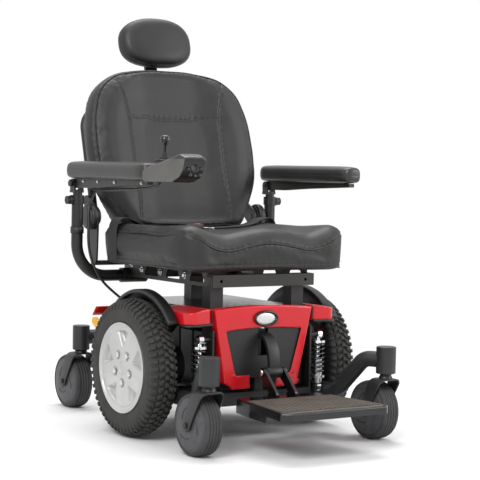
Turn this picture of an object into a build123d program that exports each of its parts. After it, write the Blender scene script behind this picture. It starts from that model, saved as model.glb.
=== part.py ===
"""Mid-wheel-drive power wheelchair with a reclining captain's seat, in millimetres, +Z up.

Every piece is built from the drive axle: x across the chair (+x is the rider's left), y back from
the axle (-y is the front) and z up from the floor.  save() moves it to the part's own frame, whose
origin is on the floor under the middle of the chair's footprint.
"""
from build123d import *
import os
from math import atan, cos, degrees, radians, sin, tan

os.makedirs("parts", exist_ok=True)

# ---- driving dimensions -------------------------------------------------------------------------
WHEEL_R = 178.0          # 14 in drive tyre
TYRE_W = 72.0
RIM_R = 116.0
TRACK_HALF = 275.0       # middle of each drive tyre
FENDER_R = 200.5
FENDER_X = (232.0, 263.0)
FENDER_ARC = (-52, 52)   # degrees back from straight up
CASTER_R = 76.0          # 6 in caster
CASTER_W = 50.0
CASTER_CAP = 29.0        # half-width over the domed side caps
CASTER_TRAIL = 45.0
FRONT_SWIVEL = (268.0, -357.0)
REAR_SWIVEL = (190.0, 451.0)
FRONT_BARREL = (25.5, 175.0, 244.0)      # radius, bottom, top
REAR_BARREL = (24.0, 170.0, 239.0)
STEM_R = 9.0
RUN = 0.05               # radial running clearance of pins and shafts

ARM_PIVOT = (-60.0, 115.0)               # front caster arm pivot: y, z
SHOCK_X = 183.5
SHOCK_Y = -175.0
SHOCK_LOW = 122.0        # lower and upper eye heights
SHOCK_HIGH = 262.0
BEAM_Z = 205.0           # rocker axis of the rear beam

PLATE_TOP = 122.0        # footplate
PLATE_FRONT = -522.0
FOOT_PIVOT = (-235.0, 178.0)
HANGER_Y = -162.0
HANGER_R = 12.5

SEAT_Z = 393.0           # underside of the seat frame
CROSSBAR = (156.0, -188.0, -158.0, 424.0)  # half-length, front, back, top
PAN_Z = 437.0
CUSHION_HALF = 250.0
CUSHION_BACK = 235.0

RECLINE = degrees(atan(0.283))           # backrest leans back by this much at rest
BACK_BASE = (186.8, 556.0)               # y, z of the backrest's front face at the hinge's height
BACK_T = 94.0
RECLINE_PIVOT = (255.0, 556.0)

ARM_X = 312.0            # middle of the armrests
ARM_Y = 250.0            # arm posts
ARM_RUN_Z = 396.0        # horizontal run of the arm tube
ARM_PIVOT_Y = 256.0      # flip-up pivot
ARM_PIVOT_Z = 645.0
PAD = (30.0, -150.0, 267.0, 659.0, 703.0)  # half-width, front, back, bottom, top
CONTROL_X = -310.0
STICK_Y = -202.0
STICK_Z = 696.0
BALL_Z = 757.0
BALL_R = 12.7
STICK_R = 4.5
GIMBAL_PIN_R = 2.5
STICK_PIN_R = 2.0
WELL_R = 20.0            # joystick well: inner radius, wall, floor and rim heights
WELL_WALL = 4.0
WELL_FLOOR = 678.0
WELL_RIM = 708.0
PORT = (-341.0, 692.0)   # charger socket: y, z of its mouth
PORT_LEAN = 0.19
PORT_R = 8.0
PORT_DEPTH = 14.0
CABLE_R = 3.5

REAR_END = REAR_SWIVEL[1] + CASTER_TRAIL + CASTER_R
ROW_Y = -(PLATE_FRONT + REAR_END) / 2    # moves the origin to the middle of the footprint

SIDES = (("right", -1), ("left", 1))


# ---- small helpers ------------------------------------------------------------------------------
def save(node, solid):
    export_step(Pos(0, ROW_Y, 0) * solid, f"parts/{node}.step")


def box(x0, x1, y0, y1, z0, z1):
    centre = ((x0 + x1) / 2, (y0 + y1) / 2, (z0 + z1) / 2)
    return Pos(*centre) * Box(abs(x1 - x0), abs(y1 - y0), abs(z1 - z0))


def rod(start, end, radius):
    """Cylinder from one point to another."""
    a, b = Vector(*start), Vector(*end)
    return extrude(Plane(origin=a, z_dir=b - a) * Circle(radius), amount=(b - a).length)


def bent_tube(points, radii, radius):
    """Round bar along straight runs joined by tangent arcs."""
    path = FilletPolyline(*points, radius=radii)
    start = Plane(origin=path @ 0, z_dir=path % 0)
    return sweep(start * Circle(radius), path=path)


def yz_plate(points, x0, x1):
    """Flat plate with this outline in side view, from x0 to x1."""
    face = make_face(Polyline(*[(0, y, z) for y, z in points], close=True).edges())
    return Pos(x0, 0, 0) * extrude(face, amount=x1 - x0, dir=(1, 0, 0))


def xz_plate(points, y0, y1):
    """Flat plate with this outline in front view, from y0 to y1."""
    face = make_face(Polyline(*[(x, 0, z) for x, z in points], close=True).edges())
    return Pos(0, y0, 0) * extrude(face, amount=y1 - y0, dir=(0, 1, 0))


def xy_plate(points, z0, z1):
    """Flat plate with this outline in plan, from z0 to z1."""
    face = make_face(Polyline(*points, close=True).edges())
    return Pos(0, 0, z0) * extrude(face, amount=z1 - z0, dir=(0, 0, 1))


def yz_strap(y0, z0, r0, y1, z1, r1, x0, x1):
    """Plate from x0 to x1 that wraps two circles in side view."""
    circles = Pos(y0, z0) * Circle(r0) + Pos(y1, z1) * Circle(r1)
    outline = make_hull(circles.edges())
    return Pos(x0, 0, 0) * extrude(Plane.YZ * outline, amount=x1 - x0)


def for_side(solid, side):
    """Pieces are built on the rider's left and mirrored to the right."""
    return solid if side > 0 else mirror(solid, about=Plane.YZ)


def on_back(solid):
    """From the backrest's own frame (x across, y through it, z up it) to the chair."""
    return Pos(0, *BACK_BASE) * Rot(X=-RECLINE) * solid


# ---- base ---------------------------------------------------------------------------------------
def make_base_frame():
    frame = box(-148, 148, -192, -150, 92, 125)
    frame += box(-148, 148, 200, 230, 92, 132)
    frame += box(-118, 118, -150, 200, 92, 95)
    frame += box(-20, 20, 200, 230, 132, 232)
    frame += rod((0, HANGER_Y, 98), (0, HANGER_Y, 205), 19)
    frame += rod((0, 229, BEAM_Z), (0, 322, BEAM_Z), 15)
    for side in (-1, 1):
        rail = box(118, 148, -150, 230, 92, 132)
        rail += yz_plate([(-188, 92), (-105, 92), (-105, 132), (-150, 285), (-188, 285)], 148, 153)
        rail += yz_plate([(-25, 132), (25, 132), (18, 288), (-18, 288)], 144, 149)
        rail += box(144, 231, -18, 18, 284, 288)
        rail += rod((148, *ARM_PIVOT), (178, *ARM_PIVOT), 16)
        rail += rod((148, *ARM_PIVOT), (234, *ARM_PIVOT), 8)
        rail += rod((152, SHOCK_Y, SHOCK_HIGH), (196, SHOCK_Y, SHOCK_HIGH), 6)
        frame += for_side(rail, side)
    return frame - rod((0, HANGER_Y, 90), (0, HANGER_Y, 210), HANGER_R + RUN)


def make_batteries():
    block = fillet(box(-98, 98, -66, 66, 95.5, 268).edges(), 4)
    for x in (-60, 60):
        block += rod((x, 44, 268), (x, 44, 280), 7)
    return [Pos(0, y, 0) * block for y in (-74, 64)]


def make_electronics():
    case = fillet(box(-92, 92, 178, 198, 236, 326).edges(), 4)
    for x in range(-72, 73, 18):
        case += box(x - 2, x + 2, 196, 206, 244, 318)
    return case


def make_top_cover():
    half = [(103, -160), (103, -117), (151, -117), (151, 232)]
    inner = [(99.5, -156.5), (99.5, -113.5), (147.5, -113.5), (147.5, 228.5)]
    cover = xy_plate(half + [(-x, y) for x, y in reversed(half)], 288, 335)
    cover = fillet(cover.faces().sort_by(Axis.Z)[-1].edges(), 3)
    cover -= xy_plate(inner + [(-x, y) for x, y in reversed(inner)], 280, 331.5)
    return cover - box(-21, 21, 134, 176, 280, 340)


def shroud_half(z):
    """The shroud's half-width grows evenly from its foot to its top."""
    return 117 + (153 - 117) * (z - 130) / (342 - 130)


def make_front_shroud():
    outline = [(-117, 130), (117, 130), (153, 342), (-153, 342)]
    shell = xz_plate(outline, -196, -162)
    corners = shell.edges().filter_by(Axis.Y)
    shell = fillet(corners, 18)
    shell = fillet(shell.faces().sort_by(Axis.Y)[0].edges(), 7)
    inner = [(-112.9, 134), (112.9, 134), (148.4, 338), (-148.4, 338)]
    shell -= fillet(xz_plate(inner, -192, -150).edges().filter_by(Axis.Y), 14)
    window = [(-98, 165), (98, 165), (118, 284), (60, 289), (-60, 289), (-118, 284)]
    window = xz_plate(window, -210, -185)
    shell -= fillet(window.edges().filter_by(Axis.Y), 8)
    return shell - box(-40, 40, -200, -150, 120, 180)


def make_access_panel():
    top, low = shroud_half(291) - 22, shroud_half(160) - 22
    panel = xz_plate([(-low, 160), (low, 160), (top, 293), (-top, 293)], -188, -184)
    panel = fillet(panel.edges().filter_by(Axis.Y), 8)
    return panel - box(-15, 15, -200, -180, 216, 300)


def make_badge():
    ring = Pos(0, -196.2, 312) * Rot(X=90) * extrude(Ellipse(35, 19), amount=4)
    disc = Pos(0, -198.8, 312) * Rot(X=90) * extrude(Ellipse(31, 15.5), amount=3)
    return ring - disc


def make_wing():
    plan = [(155.5, -189), (214, -196), (230, -178), (230, -42), (155.5, -42)]
    inner = [(159.5, -185), (212, -191.6), (226, -176), (226, -46), (159.5, -46)]
    wing = fillet(xy_plate(plan, 300, 340).edges().filter_by(Axis.Z), 10)
    wing = fillet(wing.faces().sort_by(Axis.Z)[-1].edges(), 6)
    return wing - fillet(xy_plate(inner, 290, 336).edges().filter_by(Axis.Z), 6)


def sector(r0, r1, start, end, x0, x1):
    """Part of a ring round the drive axle; angles are measured back from straight up."""
    ring = Circle(r1) - Circle(r0)
    reach = 2 * r1
    wedge = [(0, 0)]
    for step in range(5):
        angle = radians(start + (end - start) * step / 4)
        wedge.append((reach * sin(angle), reach * cos(angle)))
    ring = ring & make_face(Polyline(*wedge, close=True).edges())
    return Pos(x0, 0, WHEEL_R) * extrude(Plane.YZ * ring, amount=x1 - x0)


def make_fender():
    """Mudguard over the inner half of the tyre: wall, roof and turned-down lip."""
    start, end = FENDER_ARC
    inner, outer = FENDER_X
    fender = sector(196, FENDER_R, start, end, inner, outer)
    fender += sector(150, FENDER_R, start, end, inner, inner + 3)
    fender += sector(189, FENDER_R, start, end, outer - 3, outer)
    return fender


def make_motor():
    motor = rod((149, 0, WHEEL_R), (231, 0, WHEEL_R), 50)
    motor += box(156, 228, 20, 62, WHEEL_R - 42, WHEEL_R + 42)
    motor += rod((192, 60, WHEEL_R), (192, 190, WHEEL_R), 38)
    motor += rod((192, 190, WHEEL_R), (192, 222, WHEEL_R), 33)
    motor += rod((207, 214, 222), (218, 214, 222), 5)
    motor += box(204, 208, 208, 220, 200, 228)
    return motor - rod((190, 0, WHEEL_R), (240, 0, WHEEL_R), 12.5 + RUN)


def make_freewheel_lever():
    lever = yz_strap(214, 222, 9, 250, 238, 6, 209, 215)
    lever += yz_strap(250, 238, 6, 296, 268, 10, 209, 234)
    lever -= box(200, 222, 262, 330, 200, 300)
    return lever - rod((200, 214, 222), (240, 214, 222), 5 + RUN)


# ---- drive wheels -------------------------------------------------------------------------------
def make_wheel():
    x0, x1 = TRACK_HALF - TYRE_W / 2 + 2, TRACK_HALF + TYRE_W / 2 - 2
    rim = rod((x0, 0, 0), (x1, 0, 0), RIM_R) - rod((x0 - 1, 0, 0), (x1 + 1, 0, 0), RIM_R - 5)
    rim += rod((x1 - 14, 0, 0), (x1, 0, 0), RIM_R - 4)
    rim += rod((240, 0, 0), (x1 - 10, 0, 0), 30)
    rim += rod((196, 0, 0), (242, 0, 0), 12.5)
    for k in range(5):
        middle = -90 + 36 + 72 * k
        corners = [(58, 0), (104, -23), (104, 23)]
        window = make_face(Polyline(*corners, close=True).edges())
        window = fillet(window.vertices(), 6)
        rim -= Pos(x1 - 30, 0, 0) * extrude(Plane.YZ * Rot(Z=middle) * window, amount=60)
        nut = Plane.YZ * Rot(Z=-90 + 72 * k) * Pos(39, 0) * RegularPolygon(8, 6)
        rim -= rod_at_angle(39, -90 + 72 * k, x1 - 6, x1 + 1, 11)
        rim += Pos(x1 - 10, 0, 0) * extrude(nut, amount=11)
    rim -= rod((x1 - 5, 0, 0), (x1 + 1, 0, 0), 20)
    return Pos(0, 0, WHEEL_R) * rim


def rod_at_angle(pitch_r, angle, x0, x1, radius):
    """Cylinder along x, off the axle by pitch_r at this angle from +y towards +z."""
    y, z = pitch_r * cos(radians(angle)), pitch_r * sin(radians(angle))
    return rod((x0, y, z), (x1, y, z), radius)


def make_tyre():
    half = TYRE_W / 2
    profile = [(-half + 3, RIM_R), (-half, 130), (-half, 158), (-half + 12, 172), (-half + 22, WHEEL_R)]
    profile += [(-x, r) for x, r in reversed(profile)]
    face = make_face(Polyline(*[(x, r, 0) for x, r in profile], close=True).edges())
    return Pos(TRACK_HALF, 0, WHEEL_R) * revolve(face, Axis.X)


# ---- casters, caster arms and suspension --------------------------------------------------------
def make_fork(swivel, barrel):
    """Bent-plate fork with its stem and axle bolt, the wheel trailing behind the swivel."""
    radius, bottom, top = barrel
    fork = box(-35, 35, -22, 24, 157, 163)
    fork += rod((0, 0, 160), (0, 0, top - 9), STEM_R)
    fork += rod((0, 0, 163), (0, 0, bottom - 0.5), 15)
    for side in (-1, 1):
        outline = [(-22, 163), (24, 163), (58, 96), (62, 78), (46, 60), (30, 70)]
        leg = fillet(yz_plate(outline, 31, 35).edges().filter_by(Axis.X), 4)
        leg += rod((34, CASTER_TRAIL, CASTER_R), (39.5, CASTER_TRAIL, CASTER_R), 8.5)
        fork += for_side(leg, side)
    fork += rod((-36, CASTER_TRAIL, CASTER_R), (36, CASTER_TRAIL, CASTER_R), 5)
    return Pos(swivel[0], swivel[1], 0) * fork


def make_caster_wheel(swivel):
    half = CASTER_W / 2
    bore = 5 + RUN
    profile = [(bore, 0), (bore, CASTER_CAP), (20, CASTER_CAP), (50, CASTER_CAP - 2)]
    profile += [(66, half), (72, half - 1), (CASTER_R, half - 7)]
    for groove in (12.5, 4.0):
        profile += [(CASTER_R, groove + 1.5), (CASTER_R - 3, groove + 1)]
        profile += [(CASTER_R - 3, groove - 1), (CASTER_R, groove - 1.5)]
    profile += [(CASTER_R, 0)]
    face = make_face(Polyline(*[(x, r, 0) for r, x in profile], close=True).edges())
    half_wheel = revolve(face, Axis.X)
    wheel = half_wheel + mirror(half_wheel, about=Plane.YZ)
    return Pos(swivel[0], swivel[1] + CASTER_TRAIL, CASTER_R) * wheel


def make_barrel(swivel, barrel):
    radius, bottom, top = barrel
    body = rod((*swivel, bottom), (*swivel, top), radius)
    return chamfer(body.edges().filter_by(GeomType.CIRCLE), 1.5)


def stem_bore(swivel, barrel):
    return rod((*swivel, barrel[1] - 1), (*swivel, barrel[2] - 6), STEM_R + RUN)


def make_front_arm():
    points = [(207, -60, 115), (215, -216, 113), (243, -300, 209), (*FRONT_SWIVEL, 209)]
    arm = bent_tube(points, [60, 40], 20.5)
    arm += rod((185, *ARM_PIVOT), (231, *ARM_PIVOT), 20.5)
    arm += make_barrel(FRONT_SWIVEL, FRONT_BARREL)
    arm += rod((175, SHOCK_Y, SHOCK_LOW), (205, SHOCK_Y, SHOCK_LOW), 6)
    arm += rod((172, SHOCK_Y, SHOCK_LOW), (176, SHOCK_Y, SHOCK_LOW), 10)
    arm -= rod((170, *ARM_PIVOT), (240, *ARM_PIVOT), 8 + RUN)
    return arm - stem_bore(FRONT_SWIVEL, FRONT_BARREL)


def make_shock_rod():
    rod_part = rod((SHOCK_X - 6.5, SHOCK_Y, SHOCK_HIGH), (SHOCK_X + 6.5, SHOCK_Y, SHOCK_HIGH), 12)
    rod_part += rod((SHOCK_X, SHOCK_Y, 176), (SHOCK_X, SHOCK_Y, 256), 6)
    rod_part += rod((SHOCK_X, SHOCK_Y, 240), (SHOCK_X, SHOCK_Y, 246), 19.5)
    bore = rod((SHOCK_X - 9, SHOCK_Y, SHOCK_HIGH), (SHOCK_X + 9, SHOCK_Y, SHOCK_HIGH), 6.1)
    return rod_part - bore


def make_shock_body():
    body = rod((SHOCK_X - 5.5, SHOCK_Y, SHOCK_LOW), (SHOCK_X + 5.5, SHOCK_Y, SHOCK_LOW), 12)
    body += rod((SHOCK_X, SHOCK_Y, 133), (SHOCK_X, SHOCK_Y, 200), 12.5)
    body += rod((SHOCK_X, SHOCK_Y, 148), (SHOCK_X, SHOCK_Y, 154), 19.5)
    body -= rod((SHOCK_X, SHOCK_Y, 150), (SHOCK_X, SHOCK_Y, 210), 6 + RUN)
    return body - rod((SHOCK_X - 9, SHOCK_Y, SHOCK_LOW), (SHOCK_X + 9, SHOCK_Y, SHOCK_LOW), 8)


def make_spring():
    wire, coil, low, high = 2.5, 16.4, 154.3, 239.7
    helix = Helix(pitch=(high - low - 2 * wire) / 7, height=high - low - 2 * wire, radius=coil)
    start = Plane(origin=helix @ 0, z_dir=helix % 0)
    spring = sweep(start * Circle(wire), path=helix, is_frenet=True)
    return Pos(SHOCK_X, SHOCK_Y, low + wire) * spring


def make_rear_beam():
    beam = rod((0, 236, BEAM_Z), (0, 455, BEAM_Z), 22)
    beam += rod((-180, REAR_SWIVEL[1], BEAM_Z), (180, REAR_SWIVEL[1], BEAM_Z), 20.5)
    beam -= rod((0, 230, BEAM_Z), (0, 326, BEAM_Z), 15 + RUN)
    for side in (-1, 1):
        swivel = (side * REAR_SWIVEL[0], REAR_SWIVEL[1])
        beam += make_barrel(swivel, REAR_BARREL)
        beam -= stem_bore(swivel, REAR_BARREL)
    return beam


# ---- footrest -----------------------------------------------------------------------------------
def make_footplate():
    half = [(142, -522), (160, -502), (137, -336), (122, -254)]
    plan = half + [(-x, y) for x, y in reversed(half)]
    plate = xy_plate(plan, 103, PLATE_TOP)
    plate = fillet(plate.edges().filter_by(Axis.Z), 6)
    plate = fillet(plate.faces().sort_by(Axis.Z)[-1].edges(), 4)
    mat = [(135, -514), (151, -498), (130, -338), (126, -306)]
    mat = mat + [(-x, y) for x, y in reversed(mat)]
    plate -= xy_plate(mat, 119, 130)
    for side in (-1, 1):
        skirt = xy_plate([(137, -420), (145, -420), (137, -336), (122, -254), (114, -254)], 86, 105)
        arm = yz_strap(*FOOT_PIVOT, 13, -288, 128, 12, 25, 33)
        arm += box(25, 33, -302, -262, 117, 130)
        arm -= rod((20, *FOOT_PIVOT), (40, *FOOT_PIVOT), 6 + RUN)
        plate += for_side(skirt + arm, side)
    return plate


def make_foot_mat():
    half = [(134.5, -513.5), (150.3, -497.8), (129.5, -338), (125.6, -306.5)]
    plan = half + [(-x, y) for x, y in reversed(half)]
    mat = xy_plate(plan, 119, 122)
    for x in range(-140, 141, 14):
        mat += xy_plate([(x - 4, -496), (x + 4, -496), (0.86 * x + 4, -312), (0.86 * x - 4, -312)], 121, 124)
    return mat & xy_plate(plan, 110, 130)


def make_foot_hanger():
    points = [(0, HANGER_Y, 112), (0, HANGER_Y, 262), (0, -212, 262), (0, -233, 176)]
    hanger = bent_tube(points, [20, 26], HANGER_R)
    hanger += rod((-22, *FOOT_PIVOT), (22, *FOOT_PIVOT), 15)
    return hanger + rod((-35, *FOOT_PIVOT), (35, *FOOT_PIVOT), 6)


# ---- seat ---------------------------------------------------------------------------------------
def make_seat_towers():
    posts = [box(x - 19, x + 19, -159, -121, 132, SEAT_Z) for x in (-125, 125)]
    return posts + [box(-19, 19, 136, 174, 95, SEAT_Z)]


def make_seat_frame():
    half, front, back, top = CROSSBAR
    bar = box(-half, half, front, back, SEAT_Z, top)
    bar -= box(-half - 1, half + 1, front + 3, back - 3, SEAT_Z + 3, top - 3)
    for x in (-130, 130):
        bar -= rod((x, front - 1, 408.5), (x, back + 1, 408.5), 4.25)
    frame = bar + box(-150, 150, -160, -115, SEAT_Z, SEAT_Z + 4)
    frame += box(-150, 150, 185, 215, SEAT_Z, top)
    frame += box(-30, 30, 130, 190, SEAT_Z, SEAT_Z + 5)
    frame += box(-232, 232, -200, 226, PAN_Z, PAN_Z + 3)
    for side in (-1, 1):
        frame += for_side(make_seat_side(), side)
        frame -= for_side(rod((90, ARM_Y, ARM_RUN_Z), (190, ARM_Y, ARM_RUN_Z), 15.5 + RUN), side)
    return frame


def make_seat_side():
    """Side plate with its cut-outs, arm tube receiver and recliner bracket."""
    plate = yz_plate([(-160, SEAT_Z), (268, SEAT_Z), (268, PAN_Z), (-160, PAN_Z)], 150, 155)
    for y in (-110, 10, 120):
        hole = yz_plate([(y - 38, 403), (y + 38, 403), (y + 24, 428), (y - 24, 428)], 140, 160)
        plate -= fillet(hole.edges().filter_by(Axis.X), 5)
    plate += rod((100, ARM_Y, ARM_RUN_Z), (176, ARM_Y, ARM_RUN_Z), 20)
    plate += box(153, 262, 238, 262, 425, PAN_Z)
    plate += yz_strap(250, 446, 18, *RECLINE_PIVOT, 27, 257, 262)
    plate += rod((262, *RECLINE_PIVOT), (278, *RECLINE_PIVOT), 31)
    return plate + rod((248, *RECLINE_PIVOT), (262, *RECLINE_PIVOT), 8)


def make_cushion():
    profile = [(-214, 441), (-221, 500), (-208, 532), (-170, 545), (-40, 536), (120, 534)]
    profile += [(168, 520), (CUSHION_BACK, 512), (CUSHION_BACK, 441)]
    block = yz_plate(profile, -CUSHION_HALF, CUSHION_HALF)
    plan = xy_plate([(-250, -221), (250, -221), (250, 235), (-250, 235)], 430, 560)
    front = plan.edges().filter_by(Axis.Z).sort_by(Axis.Y)[:2]
    back = plan.edges().filter_by(Axis.Z).sort_by(Axis.Y)[2:]
    plan = fillet(front, 75)
    plan = fillet(plan.edges().filter_by(Axis.Z).filter_by_position(Axis.Y, 230, 240), 30)
    return block & plan


def make_backrest():
    half = [(176, -9), (213, 40), (252, 112), (259, 205), (254, 290), (228, 368), (172, 414), (80, 431)]
    outline = make_face(Polyline(*half, *[(-x, h) for x, h in reversed(half)], close=True).edges())
    outline = fillet(outline.vertices(), 30)
    pad = extrude(Plane.XZ * outline, amount=BACK_T, dir=(0, 1, 0))
    return on_back(fillet(pad.faces().sort_by(Axis.Y)[0].edges(), 20))


def make_back_frame():
    pivot_w, pivot_h = 65.6, 18.6
    frame = Part()
    for side in (-1, 1):
        plate = yz_strap(pivot_w, pivot_h, 24, 108, 72, 16, 249.5, 254.5)
        plate -= rod((240, pivot_w, pivot_h), (260, pivot_w, pivot_h), 8 + RUN)
        plate += rod((233, 110, 72), (250, 110, 72), 10)
        plate += bent_tube([(233, 110, 50), (233, 110, 300), (150, 110, 395), (0, 110, 395)], [60, 50], 11)
        frame += for_side(plate, side)
    frame += rod((-233, 112, 130), (233, 112, 130), 9)
    frame += rod((-216, 123, 320), (216, 123, 320), 8)
    frame += box(-28, 28, 95.5, 124, 295, 345)
    return on_back(frame - box(-19.08, 19.08, 99.92, 108.08, 280, 360) - box(-24, 24, 94, 114, 370, 420))


def make_headrest_post():
    post = box(-19, 19, 100, 108, 220, 512)
    post += rod((-14, 104, 522), (14, 104, 522), 11)
    post += box(-14, 14, 100, 108, 505, 522)
    return on_back(post - rod((-20, 104, 522), (20, 104, 522), 4 + RUN))


def make_headrest():
    plan = [(-110, 30), (-70, 32), (0, 34), (70, 32), (110, 30), (112, 62), (90, 88), (0, 93), (-90, 88), (-112, 62)]
    pad = xy_plate(plan, 459, 593)
    pad = fillet(pad.edges().filter_by(Axis.Z), 14)
    pad = fillet(pad.faces().sort_by(Axis.Z)[-1].edges() + pad.faces().sort_by(Axis.Z)[0].edges(), 12)
    for side in (-1, 1):
        pad += for_side(yz_strap(86, 522, 9, 104, 522, 8, 16, 21), side)
    pad += rod((-23, 104, 522), (23, 104, 522), 4)
    return on_back(pad)


# ---- armrests and controller --------------------------------------------------------------------
def make_arm_post():
    post = bent_tube([(102, ARM_Y, ARM_RUN_Z), (ARM_X, ARM_Y, ARM_RUN_Z), (ARM_X, ARM_Y, 613)], [88], 15.5)
    post += rod((ARM_X, ARM_Y, 590), (ARM_X, ARM_Y, 613), 18)
    post += rod((ARM_X + 12, ARM_Y, 600), (ARM_X + 24, ARM_Y, 600), 5)
    post += rod((ARM_X + 22, ARM_Y, 600), (ARM_X + 33, ARM_Y, 600), 11)
    return post - rod((ARM_X, ARM_Y, 478), (ARM_X, ARM_Y, 614), 12.5 + RUN)


def make_arm_tube():
    tube = rod((ARM_X, ARM_Y, 490), (ARM_X, ARM_Y, 626), 12.5)
    tube += box(ARM_X - 14, ARM_X + 14, 241, 269, 620, 628)
    for x0, x1 in ((-14, -9.5), (9.5, 14)):
        tube += yz_strap(ARM_PIVOT_Y, ARM_PIVOT_Z, 12.5, ARM_PIVOT_Y - 1, 632, 12.5, ARM_X + x0, ARM_X + x1)
    return tube + rod((ARM_X - 16, ARM_PIVOT_Y, ARM_PIVOT_Z), (ARM_X + 16, ARM_PIVOT_Y, ARM_PIVOT_Z), 5)


def make_arm_rail():
    outline = [(252, 658), (-138, 658), (-138, 648), (60, 640), (170, 633.5), (252, 633.5)]
    rail = yz_plate(outline, ARM_X - 8.5, ARM_X + 8.5)
    rail += rod((ARM_X - 8.5, ARM_PIVOT_Y, ARM_PIVOT_Z), (ARM_X + 8.5, ARM_PIVOT_Y, ARM_PIVOT_Z), 13)
    return rail - rod((ARM_X - 20, ARM_PIVOT_Y, ARM_PIVOT_Z), (ARM_X + 20, ARM_PIVOT_Y, ARM_PIVOT_Z), 5 + RUN)


def make_arm_pad():
    half, front, back, low, high = PAD
    pad = fillet(box(ARM_X - half, ARM_X + half, front, back, low, high).edges().filter_by(Axis.Z), 16)
    return fillet(pad.faces().sort_by(Axis.Z)[-1].edges(), 12)


def make_controller():
    side = [(-152, 655), (-152, 684), (-185, 697), (-225, 703), (-262, 712), (-318, 726)]
    side += [(-345, 716), (-336, 668), (-300, 656)]
    body = yz_plate(side, CONTROL_X - 33, CONTROL_X + 33)
    well = Pos(CONTROL_X, STICK_Y, 0)
    body += well * rod((0, 0, 690), (0, 0, WELL_RIM), WELL_R + WELL_WALL)
    body -= well * rod((0, 0, WELL_FLOOR), (0, 0, 720), WELL_R)
    for side_sign in (-1, 1):
        x = side_sign * (WELL_R - 0.5)
        body += well * box(min(x, x - side_sign * 5), max(x, x - side_sign * 5), -5, 5, 682, 702)
    body -= well * rod((-30, 0, STICK_Z), (30, 0, STICK_Z), GIMBAL_PIN_R + RUN)
    body += box(CONTROL_X - 10, CONTROL_X + 6, -200, -139, 649, 658)
    mouth = Vector(CONTROL_X, *PORT)
    lean = Vector(0, -1, PORT_LEAN).normalized()
    body -= rod(tuple(mouth - PORT_DEPTH * lean), tuple(mouth + 12 * lean), PORT_R)
    return body


def make_gimbal():
    ring = Pos(CONTROL_X, STICK_Y, STICK_Z) * (Cylinder(13.5, 6) - Cylinder(10, 8))
    for side_sign in (-1, 1):
        outer, inner = CONTROL_X + side_sign * 16.5, CONTROL_X + side_sign * 11
        ring += rod((outer, STICK_Y, STICK_Z), (inner, STICK_Y, STICK_Z), GIMBAL_PIN_R)
    return ring - rod((CONTROL_X, STICK_Y - 16, STICK_Z), (CONTROL_X, STICK_Y + 16, STICK_Z), STICK_PIN_R + RUN)


def make_joystick():
    stick = rod((CONTROL_X, STICK_Y, STICK_Z - 6), (CONTROL_X, STICK_Y, BALL_Z - 6), STICK_R)
    stick += rod((CONTROL_X, STICK_Y - 13.5, STICK_Z), (CONTROL_X, STICK_Y + 13.5, STICK_Z), STICK_PIN_R)
    stick += Pos(CONTROL_X, STICK_Y, BALL_Z) * Sphere(BALL_R)
    return stick


# ---- cable and belt -----------------------------------------------------------------------------
def cable(points):
    """Round cable through these points; each arc takes 0.45 of its shorter run."""
    corners = [Vector(*p) for p in points]
    radii = []
    for before, here, after in zip(corners, corners[1:], corners[2:]):
        turn = radians((here - before).get_angle(after - here))
        shorter = min((here - before).length, (after - here).length)
        radii.append(0.45 * shorter / tan(turn / 2))
    print("cable radii, mm:", " ".join(f"{r:.0f}" for r in radii))
    return bent_tube(points, radii, CABLE_R)


PIVOT_END = (-ARM_X + 36, ARM_PIVOT_Y, ARM_PIVOT_Z)


def make_cable_arm():
    """From the controller's underside back along the arm rail to the flip-up pivot's axis."""
    points = [(-303, -168, 654.5), (-302, -158, 646), (-299, -120, 641), (-297, -70, 637), (-296, -15, 635)]
    points += [(-295.5, 40, 633), (-295, 95, 630), (-293.5, 150, 629), (-292.5, 196, 631), (-292, 229, 637)]
    points += [(-292, ARM_PIVOT_Y, ARM_PIVOT_Z), PIVOT_END]
    return cable(points)


def make_cable_lower():
    """From the pivot's axis down the arm post, then forward to the electronics in the base."""
    start = (PIVOT_END[0] + 0.3, PIVOT_END[1], PIVOT_END[2])
    points = [start, (-259, 256, 644), (-256, 254, 626), (-266, 249, 607), (-282, 241, 590), (-287, 234, 560)]
    points += [(-289, 229, 524), (-290, 227, 487), (-283, 226, 448), (-266, 227, 410), (-238, 232, 376)]
    points += [(-200, 240, 348), (-160, 246, 320), (-124, 245, 294), (-98, 229, 278), (-84, 204, 272)]
    return cable(points)


def make_lap_belt():
    straps = []
    for side in (-1, 1):
        path = [(254, 442), (255.5, 548), (236, 560), (176, 549)]
        inner = [(252.3, 442), (253.7, 547), (235.4, 557.8), (176.4, 546.8)]
        strap = xz_plate(path + list(reversed(inner)), 132, 176)
        straps.append(for_side(strap, side))
    return straps


def group(solids):
    return Compound(children=[s.solid() if hasattr(s, "solid") else s for s in solids])


# ---- write every node ---------------------------------------------------------------------------
save("base_frame", make_base_frame())
save("batteries", group(make_batteries()))
save("electronics_module", make_electronics())
save("top_cover", make_top_cover())
save("front_shroud", make_front_shroud())
save("access_panel", make_access_panel())
save("badge", make_badge())
save("rear_beam", make_rear_beam())
save("footplate", make_footplate())
save("foot_mat", make_foot_mat())
save("foot_hanger", make_foot_hanger())
save("seat_towers", group(make_seat_towers()))
save("seat_frame", make_seat_frame())
save("seat_cushion", make_cushion())
save("back_frame", make_back_frame())
save("backrest", make_backrest())
save("headrest_post", make_headrest_post())
save("headrest", make_headrest())
save("controller_body", make_controller())
save("joystick_gimbal", make_gimbal())
save("joystick", make_joystick())
save("cable_arm", make_cable_arm())
save("cable_lower", make_cable_lower())
save("lap_belt", group(make_lap_belt()))

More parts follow.
